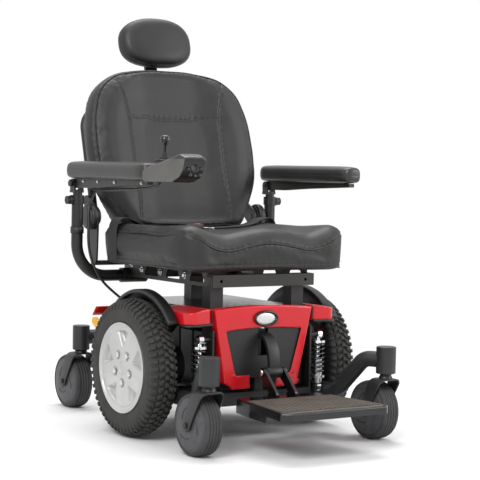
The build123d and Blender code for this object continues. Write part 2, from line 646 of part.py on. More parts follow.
LEFT_PIECES = {
    "wing": make_wing(),
    "fender": make_fender(),
    "motor": make_motor(),
    "freewheel_lever": make_freewheel_lever(),
    "wheel": make_wheel(),
    "tyre": make_tyre(),
    "front_arm": make_front_arm(),
    "shock_rod": make_shock_rod(),
    "shock_body": make_shock_body(),
    "spring": make_spring(),
    "front_fork": make_fork(FRONT_SWIVEL, FRONT_BARREL),
    "front_caster": make_caster_wheel(FRONT_SWIVEL),
    "rear_fork": make_fork(REAR_SWIVEL, REAR_BARREL),
    "rear_caster": make_caster_wheel(REAR_SWIVEL),
    "arm_post": make_arm_post(),
    "arm_tube": make_arm_tube(),
    "arm_rail": make_arm_rail(),
    "arm_pad": make_arm_pad(),
}
for name, solid in LEFT_PIECES.items():
    for side_name, side in SIDES:
        save(f"{name}_{side_name}", for_side(solid, side))
print("row frame origin is moved by y =", ROW_Y)
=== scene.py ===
"""Looks of a mid-wheel-drive power wheelchair, built round its CAD frame. Metres, +Z up, front to -Y."""
import math
import random

import bmesh
import bpy
import numpy as np
from mathutils import Matrix, Vector
from mathutils.bvhtree import BVHTree


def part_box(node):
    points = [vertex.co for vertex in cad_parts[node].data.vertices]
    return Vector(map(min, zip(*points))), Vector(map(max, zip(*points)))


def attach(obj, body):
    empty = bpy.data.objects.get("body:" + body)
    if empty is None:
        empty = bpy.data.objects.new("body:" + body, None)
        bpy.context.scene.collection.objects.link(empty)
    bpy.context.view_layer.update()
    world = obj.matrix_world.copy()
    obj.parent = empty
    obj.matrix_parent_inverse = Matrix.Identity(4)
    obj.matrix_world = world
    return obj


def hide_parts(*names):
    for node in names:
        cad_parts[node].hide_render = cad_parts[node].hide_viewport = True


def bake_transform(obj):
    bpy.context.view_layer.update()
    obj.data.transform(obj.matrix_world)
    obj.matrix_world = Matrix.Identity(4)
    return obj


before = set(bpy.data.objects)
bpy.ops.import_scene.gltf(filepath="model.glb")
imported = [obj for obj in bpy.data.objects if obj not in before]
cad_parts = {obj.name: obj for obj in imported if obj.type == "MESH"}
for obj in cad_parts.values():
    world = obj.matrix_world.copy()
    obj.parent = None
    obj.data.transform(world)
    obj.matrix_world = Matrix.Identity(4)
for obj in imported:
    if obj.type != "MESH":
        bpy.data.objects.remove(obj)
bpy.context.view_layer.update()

random.seed(7)

# ---- Studio ---------------------------------------------------------------------------------------
# A round of white paper under the chair, three large soft lamps, and a long lens at the height of the
# seat frame, in front of the chair and to the rider's right.

axle_y = (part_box("tyre_left")[0][1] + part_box("tyre_left")[1][1]) / 2


def at(x, y, z):
    """A place in millimetres from the drive axle's foot on the floor, as metres in the frame."""
    return Vector((x / 1000, y / 1000 + axle_y, z / 1000))


def linear(code, alpha=1.0):
    """An sRGB hex colour as linear numbers."""
    parts = [int(code[i:i + 2], 16) / 255 for i in (1, 3, 5)]
    return [c / 12.92 if c <= 0.04045 else ((c + 0.055) / 1.055) ** 2.4 for c in parts] + [alpha]


def add(tree, kind, settings=None, inputs=None):
    """Adds a node; settings are its own properties, inputs are values or sockets to link."""
    node = tree.nodes.new(kind)
    for key, value in (settings or {}).items():
        setattr(node, key, value)
    for key, value in (inputs or {}).items():
        if isinstance(value, bpy.types.NodeSocket):
            tree.links.new(value, node.inputs[key])
        else:
            node.inputs[key].default_value = value
    return node


def begin(name, **sockets):
    """A material with its Principled shader; constants go straight on its sockets."""
    material = bpy.data.materials.new(name)
    material.use_nodes = True
    tree = material.node_tree
    shader = tree.nodes["Principled BSDF"]
    for key, value in sockets.items():
        shader.inputs[key.replace("_", " ")].default_value = value
    place = add(tree, "ShaderNodeTexCoord").outputs["Object"]
    return material, tree, shader, place


def ramp(tree, factor, stops):
    """A colour ramp through these (place, colour) stops."""
    node = add(tree, "ShaderNodeValToRGB", inputs={"Fac": factor})
    while len(node.color_ramp.elements) < len(stops):
        node.color_ramp.elements.new(0.5)
    for element, (where, colour) in zip(node.color_ramp.elements, stops):
        element.position = where
        element.color = colour
    return node.outputs["Color"]


def bump(tree, shader, height, strength, distance):
    """Surface relief from a height, with its real depth in metres."""
    node = add(tree, "ShaderNodeBump",
               inputs={"Height": height, "Strength": strength, "Distance": distance})
    tree.links.new(node.outputs["Normal"], shader.inputs["Normal"])


def paper_sweep():
    """Matt white paper that takes the chair's soft shadow, and thins to nothing towards its edge."""
    material, tree, shader, place = begin("studio_paper", Roughness=0.9)
    grain = add(tree, "ShaderNodeTexNoise", inputs={"Vector": place, "Scale": 40.0}).outputs["Fac"]
    colour = ramp(tree, grain, [(0.3, linear("#f7f7f7")), (0.7, linear("#fafafa"))])
    tree.links.new(colour, shader.inputs["Base Color"])
    reach = add(tree, "ShaderNodeVectorMath", {"operation": "LENGTH"}, {0: place}).outputs["Value"]
    fade = add(tree, "ShaderNodeMapRange", {"interpolation_type": "SMOOTHSTEP"},
               {"Value": reach, "From Min": 0.9, "From Max": 2.2, "To Min": 1.0, "To Max": 0.0})
    tree.links.new(fade.outputs[0], shader.inputs["Alpha"])
    return material


def make_object(name, vertices, faces, materials=(), smooth=True):
    """A mesh object from plain lists."""
    mesh = bpy.data.meshes.new(name)
    mesh.from_pydata([tuple(v) for v in vertices], [], [tuple(f) for f in faces])
    mesh.validate()
    piece = bpy.data.objects.new(name, mesh)
    bpy.context.scene.collection.objects.link(piece)
    for material in materials:
        mesh.materials.append(material)
    for polygon in mesh.polygons:
        polygon.use_smooth = smooth
    return piece


def floor_sheet():
    """A round of paper that the chair stands on; its edge fades away before the horizon."""
    rim = [(2.6 * math.cos(2 * math.pi * k / 96), 2.6 * math.sin(2 * math.pi * k / 96), 0.0)
           for k in range(96)]
    sheet = make_object("studio_floor", rim, [tuple(range(96))], [paper_sweep()])


floor_sheet()

world = bpy.data.worlds.new("studio_air")
world.use_nodes = True
bpy.context.scene.world = world
sky = world.node_tree
rays = add(sky, "ShaderNodeLightPath").outputs
mirrored = add(sky, "ShaderNodeMath", {"operation": "MAXIMUM"},
               {0: rays["Is Glossy Ray"], 1: rays["Is Transmission Ray"]}).outputs[0]
seen = add(sky, "ShaderNodeMath", {"operation": "MAXIMUM"},
           {0: rays["Is Camera Ray"], 1: mirrored}).outputs[0]
strength = add(sky, "ShaderNodeMapRange", inputs={"Value": seen, "To Min": 0.5, "To Max": 1.0}).outputs[0]
back = sky.nodes["Background"]
back.inputs["Color"].default_value = (1, 1, 1, 1)
sky.links.new(strength, back.inputs["Strength"])


def softbox(name, place, target, size, power):
    lamp = bpy.data.lights.new(name, "AREA")
    lamp.shape = "RECTANGLE"
    lamp.size, lamp.size_y = size
    lamp.energy = power
    holder = bpy.data.objects.new(name, lamp)
    holder.location = place
    holder.rotation_euler = (Vector(target) - Vector(place)).to_track_quat("-Z", "Y").to_euler()
    bpy.context.scene.collection.objects.link(holder)


softbox("key_softbox", (-3.2, -2.4, 3.2), (0, 0, 0.5), (1.8, 1.8), 120)
softbox("fill_softbox", (3.0, -2.6, 1.8), (0, 0, 0.4), (1.6, 2.2), 60)
softbox("top_softbox", (0.4, 0.8, 3.6), (0, 0, 0.5), (2.6, 2.0), 90)

eye = bpy.data.cameras.new("long_lens")
eye.lens = 114.41
eye.sensor_width = 36.0
camera = bpy.data.objects.new("long_lens", eye)
bpy.context.scene.collection.objects.link(camera)
azimuth, height, roll = (math.radians(v) for v in (-33.3947, 2.6449, 1.1590))
backward = Vector((math.sin(azimuth) * math.cos(height), -math.cos(azimuth) * math.cos(height),
                   math.sin(height)))
level = Vector((math.cos(azimuth), math.sin(azimuth), 0))
upward = backward.cross(level)
right = math.cos(roll) * level + math.sin(roll) * upward
top = -math.sin(roll) * level + math.cos(roll) * upward
camera.matrix_world = Matrix((
    (right.x, top.x, backward.x, -2.19638),
    (right.y, top.y, backward.y, -3.40289 + axle_y),
    (right.z, top.z, backward.z, 0.69036),
    (0, 0, 0, 1)))
bpy.context.scene.camera = camera
bpy.context.scene.view_settings.view_transform = "Standard"
bpy.context.scene.render.film_transparent = False

# ---- Controller cable -----------------------------------------------------------------------------
# A round lead with a smooth moulded PVC jacket. It is tied along the arm rail, meets the flip-up
# pivot on its axis, then runs down the arm post to the electronics in the base.


def pvc_jacket():
    """Extruded soft PVC: black, low sheen, with faint handling marks."""
    material, tree, shader, place = begin("extruded_pvc", Roughness=0.42, IOR=1.53)
    marks = add(tree, "ShaderNodeTexNoise",
                inputs={"Vector": place, "Scale": 90.0, "Detail": 4.0}).outputs["Fac"]
    tree.links.new(ramp(tree, marks, [(0.3, linear("#161616")), (0.75, linear("#262524"))]),
                   shader.inputs["Base Color"])
    bump(tree, shader, marks, 0.15, 0.0003)
    return material


def smooth_tube(name, points, radius, material, cyclic=False):
    """A tube whose middle is one smooth curve through the pull of these points."""
    curve = bpy.data.curves.new(name, "CURVE")
    curve.dimensions = "3D"
    curve.bevel_depth = radius
    curve.bevel_resolution = 3
    curve.use_fill_caps = True
    line = curve.splines.new("NURBS")
    line.points.add(len(points) - 1)
    for knot, place in zip(line.points, points):
        knot.co = (*place, 1)
    line.order_u = 3
    line.use_cyclic_u = cyclic
    line.use_endpoint_u = not cyclic
    line.resolution_u = 6
    piece = bpy.data.objects.new(name, curve)
    bpy.context.scene.collection.objects.link(piece)
    curve.materials.append(material)
    return piece


jacket = pvc_jacket()
under_rail = [(-303, -168, 654.5), (-302, -158, 646), (-299, -120, 641), (-297, -70, 637), (-296, -15, 635)]
under_rail += [(-295.5, 40, 633), (-295, 95, 630), (-293.5, 150, 629), (-292.5, 196, 631), (-292, 229, 637)]
under_rail += [(-292, 256, 645), (-276, 256, 645)]
down_post = [(-275.7, 256, 645), (-259, 256, 644), (-256, 254, 626), (-266, 249, 607), (-282, 241, 590)]
down_post += [(-287, 234, 560), (-289, 229, 524), (-290, 227, 487), (-283, 226, 448), (-266, 227, 410)]
down_post += [(-238, 232, 376), (-200, 240, 348), (-160, 246, 320), (-124, 245, 294), (-98, 229, 278),
              (-84, 204, 272)]
rail_lead = smooth_tube("rail_lead", [at(*p) for p in under_rail], 0.0035, jacket)
post_lead = smooth_tube("post_lead", [at(*p) for p in down_post], 0.0035, jacket)
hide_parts("cable_arm")
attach(rail_lead, "armrest_right")
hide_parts("cable_lower")
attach(post_lead, "base")

# ---- Welded steel frame ---------------------------------------------------------------------------
# Box tube, plate and round tube, welded, then powder coated black: an even fine orange peel that
# shows bare edges nowhere, with a dull highlight.


def powder_coat(name, dark, light, roughness):
    """Baked polyester powder: about 0.5 mm orange peel, drawn at 1.5 mm so that it shows."""
    material, tree, shader, place = begin(name, IOR=1.5)
    peel = add(tree, "ShaderNodeTexNoise",
               inputs={"Vector": place, "Scale": 650.0, "Detail": 2.0}).outputs["Fac"]
    cloud = add(tree, "ShaderNodeTexNoise",
                inputs={"Vector": place, "Scale": 12.0, "Detail": 3.0}).outputs["Fac"]
    tree.links.new(ramp(tree, cloud, [(0.3, linear(dark)), (0.75, linear(light))]),
                   shader.inputs["Base Color"])
    sheen = add(tree, "ShaderNodeMapRange",
                inputs={"Value": cloud, "To Min": roughness - 0.06, "To Max": roughness + 0.08})
    tree.links.new(sheen.outputs[0], shader.inputs["Roughness"])
    bump(tree, shader, peel, 0.25, 0.0004)
    return material


def dress(node, material):
    """Gives a CAD piece its finish."""
    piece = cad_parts[node]
    for slot in piece.material_slots:
        slot.material = material
    if not piece.material_slots:
        piece.data.materials.append(material)


black_coat = powder_coat("powder_coated_steel", "#101010", "#191918", 0.44)
# The seat frame and arm rails get a lighter, warmer copy of the same black powder coat: painted highlight,
# standing for the taupe sheen these parts catch from the lamps.
highlight_black_coat = powder_coat("powder_coat_painted_highlight", "#1e1c1a", "#2b2926", 0.4)
for node in ("base_frame", "rear_beam", "back_frame", "headrest_post", "seat_towers"):
    dress(node, black_coat)
for side in ("left", "right"):
    for node in ("arm_post", "arm_tube"):
        dress(f"{node}_{side}", black_coat)
    dress(f"arm_rail_{side}", highlight_black_coat)
dress("seat_frame", highlight_black_coat)

# ---- Drive tyres ----------------------------------------------------------------------------------
# Foam-filled 14 in tyres moulded in black rubber: a round carcass with three rows of chevron blocks
# and a row of square shoulder lugs at each side. They turn with the wheel covers.


def moulded_rubber(name, dark, light, grit):
    """Carbon-filled rubber: near black, matt, dusted grey on its high spots, with fine mould grain."""
    material, tree, shader, place = begin(name, Roughness=0.72, IOR=1.52)
    dust = add(tree, "ShaderNodeTexNoise",
               inputs={"Vector": place, "Scale": 22.0, "Detail": 6.0}).outputs["Fac"]
    grain = add(tree, "ShaderNodeTexNoise",
                inputs={"Vector": place, "Scale": grit, "Detail": 3.0}).outputs["Fac"]
    colour = ramp(tree, dust, [(0.3, linear(dark)), (0.7, linear(light))])
    tree.links.new(colour, shader.inputs["Base Color"])
    bump(tree, shader, grain, 0.3, 0.0004)
    return material


tyre_rubber = moulded_rubber("moulded_tyre_rubber", "#20201f", "#343331", 700.0)


def spin(profile, centre, segments=96):
    """Turned shape about the x axis: profile is (x, radius) in metres, outside to outside."""
    vertices, faces = [], []
    count = len(profile)
    for k in range(segments):
        angle = 2 * math.pi * k / segments
        for x, r in profile:
            vertices.append(centre + Vector((x, r * math.cos(angle), r * math.sin(angle))))
    for k in range(segments):
        a, b = k * count, ((k + 1) % segments) * count
        for i in range(count - 1):
            faces.append((a + i, a + i + 1, b + i + 1, b + i))
    return vertices, faces


def join_parts(parts):
    """Several (vertices, faces) lists as one."""
    vertices, faces = [], []
    for part_vertices, part_faces in parts:
        start = len(vertices)
        vertices += part_vertices
        faces += [tuple(i + start for i in face) for face in part_faces]
    return vertices, faces


def block(corners, low, high, centre, shrink=0.86):
    """One tread block: its outline is (x, angle) round the tyre, from radius low to high(x)."""
    middle = np.mean(corners, axis=0)
    vertices = []
    for level in range(2):
        for x, angle in corners:
            if level:
                x = middle[0] + (x - middle[0]) * shrink
                angle = middle[1] + (angle - middle[1]) * shrink
            r = high(x) if level else low(x)
            vertices.append(centre + Vector((x, r * math.cos(angle), r * math.sin(angle))))
    n = len(corners)
    faces = [tuple(range(n - 1, -1, -1)), tuple(range(n, 2 * n))]
    faces += [(i, (i + 1) % n, n + (i + 1) % n, n + i) for i in range(n)]
    return vertices, faces


def tyre_mesh(centre):
    """Carcass, three rows of tread blocks and the shoulder lugs, about the wheel's centre."""
    low_corner, high_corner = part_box("tyre_left")
    outer = (high_corner[2] - low_corner[2]) / 2
    half = (high_corner[0] - low_corner[0]) / 2

    def crown(x):
        return outer - 0.0008 - 0.012 * (abs(x) / half) ** 2.6

    carcass = [(-half * 0.86, 0.113), (-half * 0.98, 0.124), (-half, 0.140), (-half * 0.97, 0.153)]
    carcass += [(x, crown(x) - 0.006) for x in np.linspace(-half * 0.86, half * 0.86, 9)]
    carcass += [(-x, r) for x, r in reversed(carcass[:4])]
    parts = [spin(carcass, centre, 128)]
    count = 58
    pitch = 2 * math.pi / count
    for k in range(count):
        base = k * pitch
        for row, (x0, x1, lean) in enumerate(((-0.0215, -0.0075, 1), (-0.006, 0.006, 0),
                                              (0.0075, 0.0215, -1))):
            offset = base + (0.5 * pitch if row == 1 else 0.0)
            step = 0.36 * pitch
            if lean:
                corners = [(x0, offset - step + lean * 0.2 * pitch),
                           (x1, offset - step - lean * 0.2 * pitch),
                           (x1, offset + step * 0.75 - lean * 0.2 * pitch),
                           (x0, offset + step * 0.75 + lean * 0.2 * pitch)]
            else:
                corners = [(x0, offset - step), (0.0, offset - step - 0.22 * pitch), (x1, offset - step),
                           (x1, offset + step * 0.7), (0.0, offset + step * 0.7 - 0.22 * pitch),
                           (x0, offset + step * 0.7)]
            parts.append(block(corners, lambda x: crown(x) - 0.008, crown, centre))
        for side in (-1, 1):
            offset = base + 0.25 * pitch
            inner, outer_x = 0.0235, half * 0.985
            corners = [(side * inner, offset - 0.3 * pitch), (side * outer_x, offset - 0.36 * pitch),
                       (side * outer_x, offset + 0.24 * pitch), (side * inner, offset + 0.3 * pitch)]
            if side < 0:
                corners.reverse()
            parts.append(block(corners, lambda x: crown(x) - 0.012, crown, centre))
            rib = [(side * half * 0.955, offset - 0.3 * pitch), (side * half * 1.0, offset - 0.3 * pitch),
                   (side * half * 1.0, offset + 0.16 * pitch), (side * half * 0.955, offset + 0.16 * pitch)]
            if side < 0:
                rib.reverse()
            parts.append(block(rib, lambda x: 0.149, lambda x: crown(half) - 0.002, centre, 0.92))
    return join_parts(parts)


for side in ("left", "right"):
    low_corner, high_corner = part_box(f"tyre_{side}")
    middle = (Vector(low_corner) + Vector(high_corner)) / 2
    tyre = make_object(f"drive_tyre_{side}", *tyre_mesh(middle), [tyre_rubber], smooth=False)
    bevel = tyre.modifiers.new("worn_edges", "BEVEL")
    bevel.width = 0.0006
    bevel.segments = 1
    bevel.limit_method = "ANGLE"
    for polygon in tyre.data.polygons:
        polygon.use_smooth = len(polygon.vertices) == 4 and polygon.area > 2.2e-5
    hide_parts(f"tyre_{side}")
    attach(tyre, f"drive_wheel_{side}")

# ---- Drive wheel covers ---------------------------------------------------------------------------
# Five-spoke die-cast wheels, sprayed silver under clear lacquer: bright where the flat spokes catch
# the lamps, grey in the pockets between them. Five plated lug nuts hold each to its hub.


def silver_lacquer():
    """Aluminium-flake paint under clear: metallic, softly sparkling, brighter at grazing angles."""
    material, tree, shader, place = begin("silver_flake_lacquer", Metallic=0.35, IOR=1.5)
    shader.inputs["Coat Weight"].default_value = 0.35
    shader.inputs["Coat Roughness"].default_value = 0.12
    flake = add(tree, "ShaderNodeTexVoronoi", inputs={"Vector": place, "Scale": 1400.0}).outputs["Distance"]
    cloud = add(tree, "ShaderNodeTexNoise", inputs={"Vector": place, "Scale": 9.0}).outputs["Fac"]
    tree.links.new(ramp(tree, cloud, [(0.25, linear("#b5b6b5")), (0.8, linear("#cbcbc8"))]),
                   shader.inputs["Base Color"])
    gloss = add(tree, "ShaderNodeMapRange",
                inputs={"Value": flake, "To Min": 0.28, "To Max": 0.46}).outputs[0]
    tree.links.new(gloss, shader.inputs["Roughness"])
    bump(tree, shader, flake, 0.06, 0.0002)
    return material


def zinc_plate():
    """Bright zinc on small turned and pressed fasteners, with a faint yellow-blue cast."""
    material, tree, shader, place = begin("bright_zinc_plate", Metallic=1.0, Roughness=0.24)
    cloud = add(tree, "ShaderNodeTexNoise", inputs={"Vector": place, "Scale": 160.0}).outputs["Fac"]
    tree.links.new(ramp(tree, cloud, [(0.3, linear("#c9c8c2")), (0.7, linear("#dddde2"))]),
                   shader.inputs["Base Color"])
    bump(tree, shader, cloud, 0.1, 0.0002)
    return material


silver = silver_lacquer()
zinc = zinc_plate()


def soft_step(value, start, end):
    t = min(max((value - start) / (end - start), 0.0), 1.0)
    return t * t * (3 - 2 * t)


def cover_depth(r, angle):
    """How far the cover's face lies behind its front plane, in millimetres, at this place."""
    sector = (angle - math.radians(-90 + 36)) % math.radians(72)
    sector = min(sector, math.radians(72) - sector)
    across = r * math.sin(sector)
    opening = min(max((r - 50) * 0.62, 0.0), 26.0)
    pocket = 1 - soft_step(across, opening - 5, opening + 1)
    pocket *= soft_step(r, 48, 56) * (1 - soft_step(r, 92, 98))
    lip = 1 - soft_step(r, 108, 113)
    step = soft_step(r, 98, 101) * 3.0
    hub = 4.0 * (1 - soft_step(r, 15, 18))
    nut = 0.0
    lug = (angle - math.radians(-90)) % math.radians(72)
    lug = min(lug, math.radians(72) - lug)
    gap = math.hypot(r * math.cos(lug) - 39, r * math.sin(lug))
    nut = 4.5 * (1 - soft_step(gap, 10.5, 12.5))
    crease = 1.6 * (1 - soft_step(abs(r * math.sin(lug)), 1.5, 9)) * soft_step(r, 56, 70)
    return 2.0 + lip * (2.5 + step * 0.6 + 14 * pocket + hub + nut - crease) + (1
            - lip) * 0.0 - 1.6 * soft_step(r, 111, 114)


def wheel_cover(side, outward):
    low_corner, high_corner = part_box(f"tyre_{side}")
    middle = (Vector(low_corner) + Vector(high_corner)) / 2
    face_x = (high_corner[0] - low_corner[0]) / 2
    rings = list(np.linspace(0.5, 116, 78))
    spokes = 240
    vertices, faces = [], []
    for r in rings:
        for k in range(spokes):
            angle = 2 * math.pi * k / spokes
            depth = cover_depth(r, angle) / 1000
            vertices.append(middle + Vector((outward * (face_x - depth), r / 1000 * math.cos(angle),
                                             r / 1000 * math.sin(angle))))
    for i in range(len(rings) - 1):
        for k in range(spokes):
            a, b = i * spokes + k, i * spokes + (k + 1) % spokes
            quad = (a, b, b + spokes, a + spokes)
            faces.append(quad if outward > 0 else quad[::-1])
    faces.append(tuple(range(spokes)) if outward < 0 else tuple(range(spokes))[::-1])
    barrel = [(face_x - 0.002, 0.116), (face_x - 0.014, 0.1145), (-face_x * 0.8, 0.1145),
              (-face_x * 0.86, 0.1165)]
    barrel += [(-face_x * 0.8, 0.107), (face_x * 0.4, 0.104), (face_x * 0.4, 0.030), (-face_x, 0.030),
               (-face_x, 0.011)]
    barrel = [(outward * x, r) for x, r in barrel]
    shell = spin(barrel, middle, 72)
    piece = make_object(f"wheel_cover_{side}", *join_parts([(vertices, faces), shell]), [silver])
    nuts = []
    for k in range(5):
        angle = math.radians(-90 + 72 * k)
        place = middle + Vector((0, 0.039 * math.cos(angle), 0.039 * math.sin(angle)))
        for x0, x1, r0, r1, sides in ((-0.008, -0.0015, 0.0082, 0.0082, 6),
                                      (-0.0015, -0.0004, 0.0078, 0.0045, 6)):
            ring = []
            for x, r in ((face_x + x0, r0), (face_x + x1, r1)):
                for j in range(sides):
                    turn = 2 * math.pi * j / sides + angle
                    ring.append(place + Vector((outward * x, r * math.cos(turn), r * math.sin(turn))))
            quads = [(j, (j + 1) % sides, sides + (j + 1) % sides, sides + j) for j in range(sides)]
            quads.append(tuple(range(sides, 2 * sides)))
            nuts.append((ring, quads))
    bolts = make_object(f"lug_nuts_{side}", *join_parts(nuts), [zinc], smooth=False)
    edge = bolts.modifiers.new("rolled_edges", "BEVEL")
    edge.width = 0.0007
    edge.segments = 2
    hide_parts(f"wheel_{side}")
    for each in (piece, bolts):
        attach(each, f"drive_wheel_{side}")


wheel_cover("left", 1)
wheel_cover("right", -1)

# ---- Casters --------------------------------------------------------------------------------------
# Solid rubber tyres, grooved round the tread, on grey nylon hubs whose domed caps hide the spokes.
# Each runs on a bolt in a fork bent from plate, powder coated satin charcoal like its barrel.

caster_rubber = moulded_rubber("moulded_caster_rubber", "#2c2c2d", "#3e3e3f", 800.0)
charcoal_coat = powder_coat("satin_charcoal_powder_coat", "#1d1e1f", "#292a2b", 0.46)


def glass_nylon():
    """Moulded glass-filled nylon: mid grey, semi-matt, faintly streaked by the flow."""
    material, tree, shader, place = begin("moulded_glass_nylon", Roughness=0.5, IOR=1.53)
    flow = add(tree, "ShaderNodeTexNoise",
               inputs={"Vector": place, "Scale": 35.0, "Distortion": 1.5}).outputs["Fac"]
    tree.links.new(ramp(tree, flow, [(0.3, linear("#3a3a3d")), (0.7, linear("#48484b"))]),
                   shader.inputs["Base Color"])
    bump(tree, shader, flow, 0.12, 0.0003)
    return material


nylon = glass_nylon()


def caster_wheel(node, body):
    low_corner, high_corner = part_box(node)
    middle = (Vector(low_corner) + Vector(high_corner)) / 2
    tread = [(-0.0235, 0.0655), (-0.0249, 0.069), (-0.0235, 0.0728), (-0.018, 0.0752)]
    for groove in (-0.0125, -0.0042, 0.0042, 0.0125):
        tread += [(groove - 0.0015, 0.076), (groove - 0.0012, 0.0735), (groove + 0.0012, 0.0735),
                  (groove + 0.0015, 0.076)]
    tread += [(-x, r) for x, r in reversed(tread[:4])]
    rubber = make_object(f"{node}_tyre", *spin(tread, middle, 80), [caster_rubber])
    dome = [(0.0, 0.0052), (0.028, 0.0052), (0.0285, 0.012), (0.0275, 0.016), (0.0288, 0.019),
            (0.0288, 0.036)]
    dome += [(0.0278, 0.048), (0.0262, 0.058), (0.0243, 0.0645), (0.0225, 0.0665), (0.018, 0.066)]
    full = [(-x, r) for x, r in reversed(dome)] + dome
    hub = make_object(f"{node}_hub", *spin(full, middle, 80), [nylon])
    # Three thin black arcs on each face of the hub, drawn in the cable's black PVC, are painted shade: dark
    # curved lines laid on the grey cap to stand for shade, not a part of the hub.
    arcs = []
    for side in (-1, 1):
        for start in (20, 140, 260):
            ring = []
            steps = 10
            for k in range(steps + 1):
                turn = math.radians(start + 62 * k / steps)
                r = 0.030 + 0.014 * k / steps
                ring.append(middle + Vector((side * (0.0289 - 0.0004 * (k / steps)), r * math.cos(turn),
                                             r * math.sin(turn))))
            arcs.append(smooth_tube(f"{node}_mark_{start}_{side + 1}", ring, 0.0012, jacket))
    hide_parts(node)
    for each in (rubber, hub, *arcs):
        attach(each, body)


def caster_fork(node, body, barrel_bottom):
    """Bent plate: a wide rounded arch whose legs narrow and slant back to the axle."""
    low_corner, high_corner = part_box(node)
    swivel_x = (low_corner[0] + high_corner[0]) / 2
    swivel_y = low_corner[1] + 0.022
    axle = Vector((swivel_x, swivel_y + 0.045, 0.076))
    corner, half, crown, plate = 0.016, 0.033, 0.160, 0.0045
    path = [(half, z) for z in np.linspace(0.060, crown - corner, 12)]
    path += [(half - corner + corner * math.cos(a), crown - corner + corner * math.sin(a))
             for a in np.linspace(0, math.pi / 2, 7)[1:]]
    path += [(-x, z) for x, z in reversed(path)]
    vertices, faces = [], []
    for i, (x, z) in enumerate(path):
        before, after = path[max(i - 1, 0)], path[min(i + 1, len(path) - 1)]
        along = Vector((after[0] - before[0], after[1] - before[1])).normalized()
        out = Vector((along.y, -along.x))
        share = min(max((crown - z) / (crown - 0.076), 0.0), 1.0)
        middle_y = swivel_y + 0.001 + 0.044 * share
        width = 0.024 - 0.008 * share
        if z < 0.076:
            width = math.sqrt(max(0.016 ** 2 - (0.076 - z) ** 2, 1e-7))
        for dy, lift in ((-width, 0), (width, 0), (width, 1), (-width, 1)):
            vertices.append((swivel_x + x + out.x * plate * (lift - 0.5), middle_y + dy,
                             z + out.y * plate * (lift - 0.5)))
    for i in range(len(path) - 1):
        for j in range(4):
            faces.append((4 * i + j, 4 * i + (j + 1) % 4, 4 * i + 4 + (j + 1) % 4, 4 * i + 4 + j))
    faces += [(3, 2, 1, 0), tuple(4 * (len(path) - 1) + j for j in range(4))]
    arch = make_object(f"{node}_arch", vertices, faces, [charcoal_coat])
    rounding = arch.modifiers.new("sheared_edges", "BEVEL")
    rounding.width = 0.0016
    rounding.segments = 3
    rounding.limit_method = "ANGLE"
    rounding.angle_limit = math.radians(50)
    collar = [(0.1585, 0.017), (0.1665, 0.0175), (0.1685, 0.015), (barrel_bottom - 0.0005, 0.0148)]
    ring, quads = [], []
    for k in range(40):
        turn = 2 * math.pi * k / 40
        for z, r in collar:
            ring.append(Vector((swivel_x + r * math.cos(turn), swivel_y + r * math.sin(turn), z)))
    for k in range(40):
        a, b = 4 * k, 4 * ((k + 1) % 40)
        quads += [(a + i, b + i, b + i + 1, a + i + 1) for i in range(3)]
    seal = make_object(f"{node}_seal", ring, quads, [black_coat])
    bolt = []
    for side in (-1, 1):
        washer = [(side * 0.035, 0.0), (side * 0.035, 0.0095), (side * 0.0364, 0.0095),
                  (side * 0.0366, 0.0)]
        bolt.append(spin(washer, axle, 32))
        head = [(side * 0.0364, 0.0), (side * 0.0364, 0.0068), (side * 0.0392, 0.0066),
                (side * 0.0398, 0.0054), (side * 0.0398, 0.0)]
        bolt.append(spin(head, axle, 6))
    bolt.append(spin([(-0.036, 0.0049), (0.036, 0.0049)], axle, 24))
    axle_bolt = make_object(f"{node}_axle_bolt", *join_parts(bolt), [black_coat], smooth=False)
    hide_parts(node)
    for each in (arch, seal, axle_bolt):
        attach(each, body)


for end, bottom in (("front", 0.175), ("rear", 0.170)):
    for side in ("left", "right"):
        caster_wheel(f"{end}_caster_{side}", f"{end}_caster_{side}")
        caster_fork(f"{end}_fork_{side}", f"{end}_fork_{side}", bottom)
for side in ("left", "right"):
    dress(f"front_arm_{side}", charcoal_coat)
dress("rear_beam", charcoal_coat)

# ---- Suspension -----------------------------------------------------------------------------------
# Coil-over shock absorbers: a chromed rod and spring seat above, a turned aluminium body below, and
# a cold-wound spring with a thin bright passivated skin over dark steel.


def hard_chrome():
    """Polished hard chrome: mirror bright with the faintest blue."""
    material, tree, shader, place = begin("polished_hard_chrome", Metallic=1.0, Roughness=0.08)
    haze = add(tree, "ShaderNodeTexNoise", inputs={"Vector": place, "Scale": 60.0}).outputs["Fac"]
    tree.links.new(ramp(tree, haze, [(0.3, linear("#e3e4e8")), (0.7, linear("#f0f0f2"))]),
                   shader.inputs["Base Color"])
    bump(tree, shader, haze, 0.03, 0.0002)
    return material


def turned_aluminium():
    """Lathe-turned aluminium: fine rings about 0.3 mm apart along its length, drawn at 1 mm."""
    material, tree, shader, place = begin("turned_aluminium", Metallic=1.0, Roughness=0.3)
    rings = add(tree, "ShaderNodeTexWave", {"bands_direction": "Z"},
                {"Vector": place, "Scale": 160.0, "Distortion": 0.3})
    tree.links.new(ramp(tree, rings.outputs["Fac"],
                        [(0.2, linear("#9fa0a2")), (0.8, linear("#c4c5c6"))]), shader.inputs["Base Color"])
    bump(tree, shader, rings.outputs["Fac"], 0.12, 0.0002)
    return material


def spring_steel():
    """Oil-tempered spring wire, black with bright highlights along the coils."""
    material, tree, shader, place = begin("oil_tempered_spring_wire", Metallic=0.9, Roughness=0.26)
    scale = add(tree, "ShaderNodeTexNoise", inputs={"Vector": place, "Scale": 220.0}).outputs["Fac"]
    tree.links.new(ramp(tree, scale, [(0.3, linear("#3a3a3c")), (0.7, linear("#58585a"))]),
                   shader.inputs["Base Color"])
    bump(tree, shader, scale, 0.1, 0.0002)
    return material


